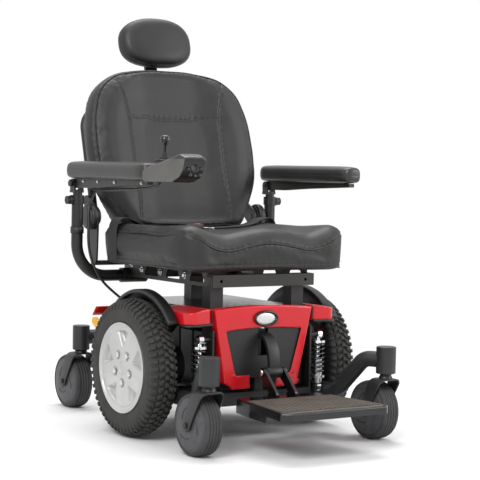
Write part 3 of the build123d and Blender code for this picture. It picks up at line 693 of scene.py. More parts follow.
chrome = hard_chrome()
turned = turned_aluminium()
wire = spring_steel()
for side in ("left", "right"):
    dress(f"shock_rod_{side}", chrome)
    dress(f"shock_body_{side}", turned)
    coil = bpy.data.objects[f"spring_{side}"].copy()
    coil.name = f"spring_coil_{side}"
    coil.data = coil.data.copy()
    bpy.context.scene.collection.objects.link(coil)
    coil.parent = None
    coil.data.materials.clear()
    coil.data.materials.append(wire)
    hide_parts(f"spring_{side}")
    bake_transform(coil)

# ---- Shroud and side wings ------------------------------------------------------------------------
# Injection-moulded ABS panels, sprayed signal red and clear-coated: a deep wet gloss. The front
# panel frames a black access cover; a black edge strip is clipped under each side wing.


def red_lacquer():
    """Solid red under clear lacquer, glossy, with orange peel about 1 mm across."""
    material, tree, shader, place = begin("red_lacquered_abs", Roughness=0.28, IOR=1.5)
    shader.inputs["Coat Weight"].default_value = 0.25
    shader.inputs["Coat Roughness"].default_value = 0.04
    peel = add(tree, "ShaderNodeTexNoise",
               inputs={"Vector": place, "Scale": 420.0, "Detail": 1.0}).outputs["Fac"]
    cloud = add(tree, "ShaderNodeTexNoise", inputs={"Vector": place, "Scale": 5.0}).outputs["Fac"]
    tree.links.new(ramp(tree, cloud, [(0.3, linear("#cf0b1a")), (0.7, linear("#dc1122"))]),
                   shader.inputs["Base Color"])
    bump(tree, shader, peel, 0.04, 0.0003)
    return material


def grained_abs(name, dark, light, roughness):
    """ABS moulded in a spark-eroded tool: a fine leathery grain about 0.8 mm, dull black."""
    material, tree, shader, place = begin(name, Roughness=roughness, IOR=1.54)
    grain = add(tree, "ShaderNodeTexVoronoi", inputs={"Vector": place, "Scale": 900.0}).outputs["Distance"]
    cloud = add(tree, "ShaderNodeTexNoise",
                inputs={"Vector": place, "Scale": 14.0, "Detail": 4.0}).outputs["Fac"]
    tree.links.new(ramp(tree, cloud, [(0.3, linear(dark)), (0.7, linear(light))]),
                   shader.inputs["Base Color"])
    bump(tree, shader, grain, 0.18, 0.0003)
    return material


red = red_lacquer()
black_abs = grained_abs("grained_black_abs", "#0e0e0e", "#171716", 0.48)
gloss_abs = grained_abs("polished_black_abs", "#0b0b0b", "#121212", 0.22)


def prism(outline, axis, low, high):
    """A closed prism on this outline; axis is the direction it is drawn along."""
    vertices = []
    for level in (low, high):
        for a, b in outline:
            vertices.append({"x": at(level, a, b), "y": at(a, level, b), "z": at(a, b, level)}[axis])
    n = len(outline)
    faces = [tuple(range(n)), tuple(range(2 * n - 1, n - 1, -1))]
    faces += [((i + 1) % n, i, n + i, n + (i + 1) % n) for i in range(n)]
    return vertices, faces


def rounded(outline, radius, steps=5):
    """The outline with its corners rounded off; radius is in millimetres."""
    result = []
    n = len(outline)
    for i in range(n):
        here = Vector(outline[i])
        before, after = Vector(outline[i - 1]) - here, Vector(outline[(i + 1) % n]) - here
        reach = min(radius, before.length * 0.45, after.length * 0.45)
        a, b = here + before.normalized() * reach, here + after.normalized() * reach
        for k in range(steps + 1):
            t = k / steps
            result.append(tuple((1 - t) ** 2 * a + 2 * t * (1 - t) * here + t * t * b))
    return result


def cut(piece, tool):
    """Takes the tool's space out of the piece, and the tool away."""
    step = piece.modifiers.new("cut", "BOOLEAN")
    step.operation = "DIFFERENCE"
    step.solver = "EXACT"
    step.object = tool
    settle(piece)
    bpy.data.objects.remove(tool)


def settle(piece):
    """Applies every modifier of a piece to its mesh."""
    depsgraph = bpy.context.evaluated_depsgraph_get()
    mesh = bpy.data.meshes.new_from_object(piece.evaluated_get(depsgraph))
    piece.modifiers.clear()
    piece.data = mesh


def fix_normals(piece):
    work = bmesh.new()
    work.from_mesh(piece.data)
    bmesh.ops.recalc_face_normals(work, faces=work.faces)
    work.to_mesh(piece.data)
    work.free()


def mould(piece, voxel, passes=4):
    """Turns sharp-edged stock into a moulding: every edge gets a small even round."""
    fix_normals(piece)
    grid = piece.modifiers.new("grid", "REMESH")
    grid.mode = "VOXEL"
    grid.voxel_size = voxel
    soften = piece.modifiers.new("soften", "SMOOTH")
    soften.factor = 0.5
    soften.iterations = passes
    settle(piece)
    for polygon in piece.data.polygons:
        polygon.use_smooth = True


def front_panel():
    top_line = [(x, 337 + 8 * (1 - (x / 150) ** 2)) for x in np.linspace(150, -150, 15)]
    outline = rounded([(-104, 133), (104, 133), (118, 150)], 14) + top_line + rounded([(-118, 150)], 1)[:1]
    panel = make_object("front_shroud_panel", *prism(outline, "y", -196, -162))
    inner_top = [(x, z - 5) for x, z in top_line if abs(x) < 146]
    inner = [(-100, 138), (100, 138), (113, 152)] + inner_top + [(-113, 152)]
    cut(panel, make_object("hollow", *prism(inner, "y", -191.5, -150)))
    brow = [(x, 281 + 7 * (1 - (x / 118) ** 2)) for x in np.linspace(116, -116, 13)]
    window = rounded([(-96, 168), (96, 168)], 12) + brow
    cut(panel, make_object("window", *prism(window, "y", -220, -180)))
    channel = [(-38, 110), (38, 110), (42, 190), (-42, 190)]
    cut(panel, make_object("channel", *prism(channel, "y", -220, -140)))
    mould(panel, 0.0022, 5)
    for vertex in panel.data.vertices:
        x, z = vertex.co.x * 1000, vertex.co.z * 1000
        bulge = 4.5 * (1 - (x / 150) ** 2) * soft_step(z, 150, 320)
        vertex.co.y += (4.5 - bulge - 1.0) / 1000 * 0.9
    panel.data.materials.append(red)
    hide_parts("front_shroud")
    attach(panel, "base")


front_panel()


def side_wing(side, sign):
    """Red side panel: it starts level with the shroud's brow and drops towards the wheel."""
    plan = [(156, -188), (213, -194), (229, -176), (229, -44), (156, -44)]
    plan = [(sign * x, y) for x, y in rounded(plan, 12)]
    wing = make_object(f"side_wing_{side}", *prism(plan, "z", 300, 340))
    inside = [(sign * x, y) for x, y in [(160, -183), (211, -189), (224, -173), (224, -48), (160, -48)]]
    cut(wing, make_object("hollow", *prism(inside, "z", 290, 335)))
    mould(wing, 0.0022, 5)
    for vertex in wing.data.vertices:
        x, z = abs(vertex.co.x * 1000), vertex.co.z * 1000
        drop = soft_step(x, 165, 232) * 9 * soft_step(z, 300, 340)
        vertex.co.z -= drop / 1000
    wing.data.materials.append(red)
    edge = [at(sign * x, y, z) for x, y, z in ((157, -189, 300), (190, -192.5, 299), (214, -193.5, 298.5),
                                                (226, -186, 298), (229, -172, 298), (229, -110, 298),
                                                (229, -46, 298))]
    strip = smooth_tube(f"wing_edge_strip_{side}", edge, 0.0035, black_abs)
    seam = [at(sign * x, y, z) for x, y, z in ((154.6, -186, 302), (154.8, -187, 320), (155.5, -186, 337))]
    gap = smooth_tube(f"wing_seam_{side}", seam, 0.0013, black_abs)
    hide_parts(f"wing_{side}")
    for each in (wing, strip, gap):
        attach(each, "base")


side_wing("left", 1)
side_wing("right", -1)
dress("access_panel", black_abs)
dress("top_cover", gloss_abs)
for side in ("left", "right"):
    dress(f"fender_{side}", black_abs)

def shell_of(name, rings, material):
    """A closed skin through rings of equally many points, with a point in the middle of both ends."""
    count = len(rings[0])
    vertices = [p for ring in rings for p in ring]
    faces = []
    for i in range(len(rings) - 1):
        faces += [(i * count + k, i * count + (k + 1) % count, (i + 1) * count + (k + 1) % count,
                   (i + 1) * count + k) for k in range(count)]
    for ring, start in ((rings[0], 0), (rings[-1], (len(rings) - 1) * count)):
        vertices.append(sum(ring, Vector()) / count)
        faces += [(start + (k + 1) % count, start + k, len(vertices) - 1) for k in range(count)]
    piece = make_object(name, vertices, faces, [material])
    fix_normals(piece)
    return piece


def fender(side, sign):
    """Moulded mudguard over the inner half of the tyre, with a turned-down outer lip."""
    section = [(232, 150), (232, 199), (234, 200.5), (258, 200.5), (262.5, 198.5), (263, 190),
               (260.8, 189.5), (260, 196), (256, 197.6), (236.5, 197.6), (234.6, 196), (234.6, 150)]
    rings = []
    for k in range(41):
        turn = math.radians(-51 + 2.55 * k)
        rings.append([at(sign * x, r * math.sin(turn), 178 + r * math.cos(turn)) for x, r in section])
    guard = shell_of(f"fender_cover_{side}", rings, black_abs)
    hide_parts(f"fender_{side}")
    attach(guard, "base")


fender("left", 1)
fender("right", -1)

# ---- Badge ----------------------------------------------------------------------------------------
# An oval nameplate left bare: a pale satin disc pressed into a black moulded ring.


def brushed_plate():
    """Brushed and lacquered aluminium plate, the brush lines running across it."""
    material, tree, shader, place = begin("brushed_aluminium_plate", Metallic=0.8, Roughness=0.35)
    stretched = add(tree, "ShaderNodeMapping",
                    inputs={"Vector": place, "Scale": (40.0, 40.0, 900.0)}).outputs["Vector"]
    lines = add(tree, "ShaderNodeTexNoise", inputs={"Vector": stretched, "Scale": 4.0}).outputs["Fac"]
    tree.links.new(ramp(tree, lines, [(0.3, linear("#c6c7c4")), (0.7, linear("#e2e2de"))]),
                   shader.inputs["Base Color"])
    bump(tree, shader, lines, 0.05, 0.0002)
    return material


def oval_dome(name, half_x, half_z, front, depth, material):
    """A low dome on an oval, facing forwards."""
    vertices, faces = [at(0, front, 312)], []
    rings, count = 6, 48
    for i in range(1, rings + 1):
        t = i / rings
        for k in range(count):
            turn = 2 * math.pi * k / count
            vertices.append(at(half_x * t * math.cos(turn), front + depth * t ** 4,
                               312 + half_z * t * math.sin(turn)))
    for k in range(count):
        faces.append((0, 1 + k, 1 + (k + 1) % count))
        for i in range(rings - 1):
            a, b = 1 + i * count + k, 1 + i * count + (k + 1) % count
            faces.append((a, a + count, b + count, b))
    piece = make_object(name, vertices, faces, [material])
    fix_normals(piece)
    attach(piece, "base")
    return piece


oval = [at(33.5 * math.cos(a), -201.2, 312 + 17.8 * math.sin(a))
        for a in np.linspace(0, 2 * math.pi, 25)[:-1]]
badge_ring = smooth_tube("badge_ring", oval, 0.0032, gloss_abs, cyclic=True)
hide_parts("badge")
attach(badge_ring, "base")
oval_dome("badge_disc", 31, 15.5, -201.5, 2.0, brushed_plate())
oval_dome("badge_backing", 35, 19.5, -199.2, 3.0, gloss_abs)

# ---- Batteries, electronics, motors, freewheel levers ---------------------------------------------
# Polypropylene battery cases and a finned controller case inside the base; cast gearmotors painted
# black beside it; a yellow nylon lever on each motor frees its brake.

dress("batteries", grained_abs("moulded_polypropylene", "#3d3d3e", "#4a4a4b", 0.5))
dress("electronics_module", black_abs)
cast_black = powder_coat("painted_cast_aluminium", "#1a1a1b", "#232324", 0.5)
lever_yellow = grained_abs("yellow_moulded_nylon", "#e0a60a", "#f0b90f", 0.35)
for side in ("left", "right"):
    dress(f"motor_{side}", cast_black)
    dress(f"freewheel_lever_{side}", lever_yellow)


def reflector_red():
    """Moulded acrylic prisms: clear deep red over a pyramid field about 2 mm across."""
    material, tree, shader, place = begin("red_acrylic_reflector", Roughness=0.12, IOR=1.49)
    prisms = add(tree, "ShaderNodeTexVoronoi", {"distance": "CHEBYCHEV"},
                 {"Vector": place, "Scale": 420.0}).outputs["Distance"]
    tree.links.new(ramp(tree, prisms, [(0.1, linear("#7a0a0c")), (0.6, linear("#d6201c"))]),
                   shader.inputs["Base Color"])
    bump(tree, shader, prisms, 0.4, 0.0006)
    return material


reflective = reflector_red()
for side, sign in (("left", 1), ("right", -1)):
    face = []
    for a in (-22, 22):
        for t in np.linspace(0, 1, 9):
            turn = math.radians(49 + a / 44 * 9)
            x = 238 + 70 * t
            face.append(at(sign * x, 203 * math.sin(turn), 178 + 203 * math.cos(turn)))
    quads = [(i, i + 1, i + 10, i + 9) for i in range(8)]
    plate = make_object(f"reflector_{side}", face, quads, [reflective])
    thick = plate.modifiers.new("thickness", "SOLIDIFY")
    thick.thickness = 0.003
    thick.offset = 0
    round_edge = plate.modifiers.new("rounded_rim", "BEVEL")
    round_edge.width = 0.0008
    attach(plate, "base")

# ---- Footrest -------------------------------------------------------------------------------------
# A moulded plate with a deep lip and a ribbed rubber mat, hung from a curved black bar that hooks
# into the base. Two flat arms carry the plate, so that it flips up on their pivot.

mat_rubber = moulded_rubber("ribbed_mat_rubber", "#4c4641", "#5f5850", 500.0)
dress("footplate", gloss_abs)
dress("foot_mat", mat_rubber)


def band(name, middle, widths, thickness, material):
    """A flat bar along these points; widths are across the chair, in millimetres."""
    vertices, faces = [], []
    places = [at(*p) for p in middle]
    for i, place in enumerate(places):
        along = (places[min(i + 1, len(places) - 1)] - places[max(i - 1, 0)]).normalized()
        out = Vector((0, -along.z, along.y)) * thickness / 2000
        half = Vector((widths[i] / 2000, 0, 0))
        vertices += [place - half - out, place + half - out, place + half + out, place - half + out]
    for i in range(len(places) - 1):
        for j in range(4):
            faces.append((4 * i + j, 4 * i + (j + 1) % 4, 4 * i + 4 + (j + 1) % 4, 4 * i + 4 + j))
    faces += [(3, 2, 1, 0), tuple(4 * (len(places) - 1) + j for j in range(4))]
    piece = make_object(name, vertices, faces, [material])
    fix_normals(piece)
    edge = piece.modifiers.new("rounded_edges", "BEVEL")
    edge.width = min(thickness * 0.3, 2.5) / 1000
    edge.segments = 3
    edge.limit_method = "ANGLE"
    edge.angle_limit = math.radians(50)
    return piece


bow = [(0, -176, 266), (0, -196, 268), (0, -213, 262), (0, -226, 248), (0, -234, 230), (0, -238, 208),
       (0, -238, 186), (0, -235, 172)]
hanger_bar = band("hanger_bar", bow, [30, 31, 32, 33, 33, 32, 30, 28], 13, black_coat)
stem = []
for k in range(24):
    turn = 2 * math.pi * k / 24
    stem += [at(12.5 * math.cos(turn), -162 + 12.5 * math.sin(turn), z) for z in (112, 264, 270)]
stem_faces = [(3 * k + i, 3 * ((k + 1) % 24) + i, 3 * ((k + 1) % 24) + i + 1, 3 * k + i + 1)
              for k in range(24) for i in range(2)]
stem_faces.append(tuple(3 * k + 2 for k in range(24)))
hanger_stem = make_object("hanger_stem", stem, stem_faces, [black_coat])
hinge_centre = at(0, -235, 178)
barrel = [(-0.022, 0.0), (-0.022, 0.0142), (-0.0208, 0.015), (0.0208, 0.015), (0.022, 0.0142), (0.022, 0.0)]
pin = [(-0.0385, 0.0), (-0.0385, 0.0085), (-0.0345, 0.0092), (-0.0340, 0.006), (0.0340, 0.006),
       (0.0345, 0.0092), (0.0385, 0.0085), (0.0385, 0.0)]
hinge_barrel = make_object("hanger_barrel", *spin(barrel, hinge_centre, 36), [black_coat])
hinge_pin = make_object("hanger_pin", *spin(pin, hinge_centre, 24), [zinc])
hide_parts("foot_hanger")
for each in (hanger_bar, hanger_stem, hinge_barrel, hinge_pin):
    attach(each, "foot_hanger")

# ---- Fasteners on the frame -----------------------------------------------------------------------
# Hexagon-headed bolts with washers where the towers, side plates and brackets are joined, plastic
# end caps in the crossbar, and star knobs on the arm tubes.


def hex_bolt(name, place, axis, size, material=zinc):
    """A bolt head on its washer, standing on the surface at place; size is across the flats, in mm."""
    vertices, faces = [], []
    profile = [(0.0, size * 0.82, 28), (1.4, size * 0.82, 28), (1.4, size * 0.577, 6),
               (1.4 + size * 0.42, size * 0.577, 6),
               (1.4 + size * 0.5, size * 0.48, 6)]
    turn = Vector((0, 0, 1)).rotation_difference(Vector(axis))
    for (z0, r0, n), (z1, r1, _) in ((profile[0], profile[1]), (profile[2], profile[3]),
                                     (profile[3], profile[4])):
        start = len(vertices)
        for z, r in ((z0, r0), (z1, r1)):
            for k in range(n):
                a = 2 * math.pi * k / n
                vertices.append(place + turn @ Vector((r * math.cos(a), r * math.sin(a), z)) / 1000)
        faces += [(start + k, start + (k + 1) % n, start + n + (k + 1) % n, start + n + k)
                  for k in range(n)]
        faces.append(tuple(range(start + n, start + 2 * n)))
    piece = make_object(name, vertices, faces, [material], smooth=False)
    return piece


for side, sign in (("left", 1), ("right", -1)):
    for i, (y, z) in enumerate(((-52, 415), (72, 415), (170, 415), (225, 428))):
        bolt = hex_bolt(f"side_plate_bolt_{side}_{i}", at(sign * 155, y, z), (sign, 0, 0), 10)
        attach(bolt, "base")
    for i, (y, z) in enumerate(((-170, 140), (-150, 250), (-168, 215))):
        bolt = hex_bolt(f"tower_plate_bolt_{side}_{i}", at(sign * 153, y, z), (sign, 0, 0), 8)
        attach(bolt, "base")
    cap = [(sign * 158.5, -186.5, 394.5), (sign * 158.5, -159.5, 394.5), (sign * 158.5, -159.5, 422.5),
           (sign * 158.5, -186.5, 422.5)]
    inner = [(sign * 153, y, z) for _, y, z in cap]
    plug = make_object(f"crossbar_end_plug_{side}", [at(*p) for p in cap + inner],
                       [(0, 1, 2, 3), (7, 6, 5, 4)] + [(i, (i + 1) % 4, 4 + (i + 1) % 4, 4 + i)
                                                       for i in range(4)], [black_abs])
    fix_normals(plug)
    soft = plug.modifiers.new("moulded_edges", "BEVEL")
    soft.width = 0.0015
    soft.segments = 2
    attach(plug, "base")


def star_knob(name, place, axis, radius, depth):
    """A moulded knob with five lobes and a domed face."""
    vertices, faces = [], []
    count = 60
    turn = Vector((0, 0, 1)).rotation_difference(Vector(axis))
    rings = ((0.0, 0.8), (0.15, 1.0), (0.75, 1.0), (0.95, 0.86), (1.0, 0.6), (1.0, 0.0))
    for height, share in rings:
        for k in range(count):
            a = 2 * math.pi * k / count
            r = radius * share * (1 + 0.09 * math.cos(5 * a) * (1 if share > 0.55 else 0))
            vertices.append(place + turn @ Vector((r * math.cos(a), r * math.sin(a),
                                                   depth * height)) / 1000)
    for i in range(len(rings) - 1):
        faces += [(i * count + k, i * count + (k + 1) % count, (i + 1) * count + (k + 1) % count,
                   (i + 1) * count + k) for k in range(count)]
    return make_object(name, vertices, faces, [black_abs])


for side, sign in (("left", 1), ("right", -1)):
    height_knob = star_knob(f"arm_height_knob_{side}", at(sign * 326, 250, 600), (sign, 0, 0), 12, 11)
    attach(height_knob, "base")
    pivot_knob = star_knob(f"arm_pivot_knob_{side}", at(sign * 328, 256, 645), (sign, 0, 0), 9, 7)
    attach(pivot_knob, f"arm_tube_{side}")
    for i, y in enumerate((-110, 30, 120, 200)):
        screw = hex_bolt(f"arm_rail_screw_{side}_{i}", at(sign * 320.5, y, 651), (sign, 0, 0), 5)
        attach(screw, f"armrest_{side}")
collar = []
for k in range(32):
    turn = 2 * math.pi * k / 32
    for dz, r in ((-9, 16.2), (-9, 18.0), (9, 18.0), (9, 16.2)):
        collar.append(at(-312 + r * math.cos(turn), 250 + r * math.sin(turn), 520 + dz))
quads = [(4 * k + j, 4 * ((k + 1) % 32) + j, 4 * ((k + 1) % 32) + (j + 1) % 4, 4 * k + (j + 1) % 4)
         for k in range(32) for j in range(4)]
clip = make_object("cable_clip_0", collar, quads, [black_abs])
fix_normals(clip)
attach(clip, "base")

# ---- Recliner housings ----------------------------------------------------------------------------
# Each recline hinge hides in a two-piece moulded housing: a deep black drum with a rounded rim and a
# lighter grained cap pressed into its face.

grey_cap = grained_abs("grained_charcoal_abs", "#333231", "#403e3c", 0.5)


def recliner_housing(side, sign):
    centre = at(sign * 255, 255, 556)
    drum = [(6, 0), (6, 30), (8, 34), (12, 35.5), (20, 35.5), (24, 34), (26, 31), (24.5, 28), (24.5, 0)]
    drum = [(sign * x / 1000, r / 1000) for x, r in drum]
    shell = make_object(f"recliner_drum_{side}", *spin(drum, centre, 72), [black_abs])
    cap = [(24.5, 28), (26.5, 27), (27.5, 22), (27.8, 0)]
    cap = [(sign * x / 1000, r / 1000) for x, r in cap]
    face = make_object(f"recliner_cap_{side}", *spin(cap, centre, 72), [grey_cap])
    for each in (shell, face):
        fix_normals(each)
        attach(each, "base")


recliner_housing("left", 1)
recliner_housing("right", -1)

# ---- Seat cushion ---------------------------------------------------------------------------------
# Moulded foam with a dished top and a raised front between the legs, covered in soft black vinyl:
# one panel over the top, a boxing strip round the sides, and a piped seam where they meet.


def upholstery(name, dark, light, streak):
    """Embossed vinyl on foam: soft sheen, leather grain, and a drawn-out mottle of this strength."""
    material, tree, shader, place = begin(name, Roughness=0.5)
    mottle = add(tree, "ShaderNodeTexNoise", inputs={"Scale": 22.0, "Detail": 6.0, "Vector": place})
    stretched = add(tree, "ShaderNodeMapping",
                    inputs={"Vector": place, "Scale": (160.0, 60.0, 14.0), "Rotation": (0.0, 0.16, 0.0)})
    streaks = add(tree, "ShaderNodeTexNoise",
                  inputs={"Scale": 1.0, "Detail": 5.0, "Roughness": 0.6,
                          "Vector": stretched.outputs["Vector"]})
    blendin = add(tree, "ShaderNodeMix", {"data_type": "FLOAT"},
                  {"Factor": streak, "A": mottle.outputs["Fac"], "B": streaks.outputs["Fac"]})
    tone = ramp(tree, blendin.outputs["Result"], [(0.34, linear(dark)), (0.66, linear(light))])
    tree.links.new(tone, shader.inputs["Base Color"])
    sheen = add(tree, "ShaderNodeMapRange",
                inputs={"Value": mottle.outputs["Fac"], "To Min": 0.42, "To Max": 0.58})
    tree.links.new(sheen.outputs["Result"], shader.inputs["Roughness"])
    grain = add(tree, "ShaderNodeTexVoronoi", {"feature": "DISTANCE_TO_EDGE"},
                {"Scale": 620.0, "Vector": place})
    bump(tree, shader, grain.outputs["Distance"], 0.22, 0.0003)
    return material


def inflate(shell, voxel, pressure, cap):
    """Fills a closed cover with air until it is as tight as foam makes it, and keeps it near its shape."""
    grid = shell.modifiers.new("grid", "REMESH")
    grid.mode = "VOXEL"
    grid.voxel_size = voxel
    settle(shell)
    for polygon in shell.data.polygons:
        polygon.use_smooth = True
    start = np.empty(len(shell.data.vertices) * 3)
    shell.data.vertices.foreach_get("co", start)
    cloth = shell.modifiers.new("cloth", "CLOTH")
    cloth.settings.quality = 5
    cloth.settings.mass = 0.4
    cloth.settings.tension_stiffness = 25
    cloth.settings.compression_stiffness = 25
    cloth.settings.bending_stiffness = 4
    cloth.settings.use_pressure = True
    cloth.settings.uniform_pressure_force = pressure
    cloth.settings.effector_weights.gravity = 0
    cloth.point_cache.frame_start = 1
    cloth.point_cache.frame_end = 20
    for step in range(1, 21):
        bpy.context.scene.frame_set(step)
    settle(shell)
    bpy.context.scene.frame_set(1)
    now = np.empty(len(shell.data.vertices) * 3)
    shell.data.vertices.foreach_get("co", now)
    start, now = start.reshape(-1, 3), now.reshape(-1, 3)
    move = now - start
    length = np.linalg.norm(move, axis=1, keepdims=True) + 1e-9
    shell.data.vertices.foreach_set("co", (start + move * np.minimum(1.0, cap / length)).ravel())


def finish_shell(shell, passes):
    soften = shell.modifiers.new("soften", "SMOOTH")
    soften.factor = 0.5
    soften.iterations = passes
    finer = shell.modifiers.new("finer", "SUBSURF")
    finer.levels = 1
    settle(shell)
    for polygon in shell.data.polygons:
        polygon.use_smooth = True


def dense(points, step):
    """The same line with a point every step metres."""
    result = [points[0]]
    for a, b in zip(points, points[1:]):
        count = max(1, round((b - a).length / step))
        result += [a + (b - a) * (k / count) for k in range(1, count + 1)]
    return result


def on_surface(shell, points):
    """These points dropped on to the shell, with the way out of it at each."""
    tree = BVHTree.FromObject(shell, bpy.context.evaluated_depsgraph_get())
    return [tree.find_nearest(p)[:2] for p in points]


def even_out(path, times):
    """Takes the tremble out of a line, its ends kept."""
    for _ in range(times):
        path = [path[0]] + [(path[i - 1] + path[i] * 2 + path[i + 1]) / 4
                            for i in range(1, len(path) - 1)] + [path[-1]]
    return path


def channel(shell, points, depth, width, pucker=0.0):
    """Draws the cover in along a seam; pucker is the height of the little gathers across it."""
    line = even_out([p for p, _ in on_surface(shell, dense(points, 0.002))], 60)
    line = np.array([tuple(p) for p in line])
    count = len(shell.data.vertices)
    places, normals = np.empty(count * 3), np.empty(count * 3)
    shell.data.vertices.foreach_get("co", places)
    shell.data.vertices.foreach_get("normal", normals)
    places, normals = places.reshape(-1, 3), normals.reshape(-1, 3)
    low, high = line.min(axis=0) - 3 * width, line.max(axis=0) + 3 * width
    near = np.where(np.all((places > low) & (places < high), axis=1))[0]
    for i in range(0, len(near), 4000):
        some = near[i:i + 4000]
        apart = np.linalg.norm(places[some][:, None] - line[None], axis=2)
        nearest, away = apart.argmin(axis=1), apart.min(axis=1)
        dip = depth * np.exp(-(away / width) ** 2)
        gather = pucker * np.sin(nearest * 0.7 + 0.9 * np.sin(nearest * 0.13)) * np.exp(
                -((away - 1.6 * width) / width) ** 2)
        places[some] += normals[some] * (gather - dip)[:, None]
    shell.data.vertices.foreach_set("co", places.ravel())
    shell.data.update()


def piping(name, shell, points, radius, material, proud=0.0, cyclic=False):
    """A sewn-in cord along a seam, half sunk in the cover."""
    path = even_out([place + out * proud for place, out in on_surface(shell, dense(points, 0.006))], 14)
    if cyclic:
        path = path[:-1]
    return smooth_tube(name, path, radius, material, cyclic)


def stitches(name, shell, points, offset, material):
    """A row of top-stitching beside a seam; offset is how far along its side, in metres."""
    rows = on_surface(shell, even_out([p for p, _ in on_surface(shell, dense(points, 0.0042))], 20))
    vertices, faces = [], []
    for i in range(len(rows) - 1):
        (a, out), (b, _) = rows[i], rows[i + 1]
        along = (b - a).normalized()
        across = out.cross(along).normalized()
        a, b = a + across * offset + along * 0.0006, b + across * offset - along * 0.0006
        start = len(vertices)
        for place, lift in ((a, 0.0), (a + (b - a) * 0.2, 0.0005), (a + (b - a) * 0.8, 0.0005), (b, 0.0)):
            for side, rise in ((-0.00035, 0.0), (0.0, 0.00035), (0.00035, 0.0), (0.0, -0.00035)):
                vertices.append(place + out * (lift + rise) + across * side)
        for ring in range(3):
            base = start + 4 * ring
            faces += [(base + k, base + (k + 1) % 4, base + 4 + (k + 1) % 4, base + 4 + k)
                      for k in range(4)]
        faces += [(start + 3, start + 2, start + 1, start),
                  (start + 12, start + 13, start + 14, start + 15)]
    return make_object(name, vertices, faces, [material])


vinyl = upholstery("embossed_black_vinyl", "#171616", "#262524", 0.3)
vinyl_smooth = upholstery("smooth_black_vinyl", "#1a1919", "#232221", 0.0)
piping_vinyl = upholstery("piping_vinyl", "#131313", "#1c1b1b", 0.0)
thread = moulded_rubber("bonded_nylon_thread", "#1b1a1a", "#262525", 900.0)


def cushion_rim(inset, radius):
    """The cushion's plan as 220 even points, this far in from its widest line."""
    x, front, rear = 252 - inset, -223 + inset, 235 - inset
    corners = [(x, rear), (-x, rear), (-x, front), (x, front)]
    loop = []
    for i, (cx, cy) in enumerate(corners):
        r = radius if cy < 0 else radius * 0.55
        mx, my = cx - math.copysign(r, cx), cy - math.copysign(r, cy)
        start = math.pi / 2 * i
        loop += [Vector((mx + r * math.cos(start + k * math.pi / 20),
                         my + r * math.sin(start + k * math.pi / 20), 0)) for k in range(11)]
    line = dense(loop + loop[:1], 2.0)
    reach = np.cumsum([0] + [(q - p).length for p, q in zip(line, line[1:])])
    even = np.linspace(0, reach[-1], 221)[:-1]
    return [(float(np.interp(e, reach, [p.x for p in line])),
             float(np.interp(e, reach, [p.y for p in line]))) for e in even]


def crown(x, y):
    """Height of the cushion's top: thigh troughs, raised sides, a pommel and a dropped front edge."""
    side = abs(x) / 245
    front = soft_step(-y, 20, 215)
    height = 530 - 10 * (1 - side ** 2) * (1 - front)
    height += front * (8 * math.exp(-((abs(x) - 0) / 62) ** 2) - 11
                       * math.exp(-((abs(x) - 128) / 52) ** 2) + 10 * math.exp(-((abs(x) - 215) / 42) ** 2))
    height += 8 * soft_step(side, 0.55, 0.92)
    height -= 20 * soft_step(-y, 178, 226) + 8 * soft_step(y, 165, 232)
    return height


def seam_height(x, y):
    """Height of the piped seam, which follows the crown of the top."""
    return crown(x * 0.97, y * 0.93) - 13 - 6 * soft_step(-y, 150, 226)


rim = cushion_rim(0, 66)
rings = []
for share in (0.3, 0.6, 0.85):
    rings.append([at(x * share, y * share, 441) for x, y in cushion_rim(14, 42)])
for level, inset, radius in ((436, 11, 42), (440, 7, 44), (456, 6, 48), (484, 2.5, 58)):
    rings.append([at(x, y, level) for x, y in cushion_rim(inset, radius)])
rings.append([at(x, y, seam_height(x, y)) for x, y in rim])
for share in (0.985, 0.955, 0.9, 0.8, 0.66, 0.5, 0.34, 0.18):
    drop = 9 * soft_step(share, 0.93, 1.0)
    rings.append([at(x * share, y * share, crown(x * share, y * share) - drop) for x, y in rim])
cushion = shell_of("seat_cushion_cover", rings, vinyl_smooth)
inflate(cushion, 0.0055, 3.0, 0.006)
finish_shell(cushion, 5)
seam = [at(x, y, seam_height(x, y)) for x, y in rim + rim[:1]]
channel(cushion, seam, 0.0022, 0.0035, 0.0005)
cushion_pipe = piping("seat_cushion_piping", cushion, seam, 0.0026, piping_vinyl, 0.0008, True)
lower_rim = cushion_rim(7, 46)
lower_seam = [at(x, y, 449) for x, y in lower_rim + lower_rim[:1]]
channel(cushion, lower_seam, 0.0014, 0.003, 0.0004)
for sign in (-1, 1):
    corner_seam = [at(sign * 236, y, z) for y, z in ((214, 448), (220, 480), (222, 512))]
    channel(cushion, corner_seam, 0.0016, 0.003)
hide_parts("seat_cushion")
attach(cushion, "base")
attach(cushion_pipe, "base")

# ---- Backrest -------------------------------------------------------------------------------------
# A wide captain's back in the same vinyl: a plain pair of side bolsters sewn to a brushed-look
# centre panel, top-stitched seams between them, piping round the face and a flat hard back.

LEAN = math.atan(0.283)


def back_at(x, w, h):
    """A place in the backrest's own measure: across, back from its face, and up from the hinge."""
    y = 186.8 + h * math.sin(LEAN) + w * math.cos(LEAN)
    return at(x, y, 556 + h * math.cos(LEAN) - w * math.sin(LEAN))


half = [(0, -24), (184, -24), (217, 36), (252, 112), (259, 205), (254, 290), (228, 368), (172, 414),
        (80, 431), (0, 434)]
whole = half[1:-1] + [(-x, h) for x, h in half[-2:0:-1]]
smooth_line = rounded(whole, 60, 8)
back_rim = dense([Vector((x, h, 0)) for x, h in smooth_line + smooth_line[:1]], 5.0)[:-1]
hub = Vector((0, 210, 0))


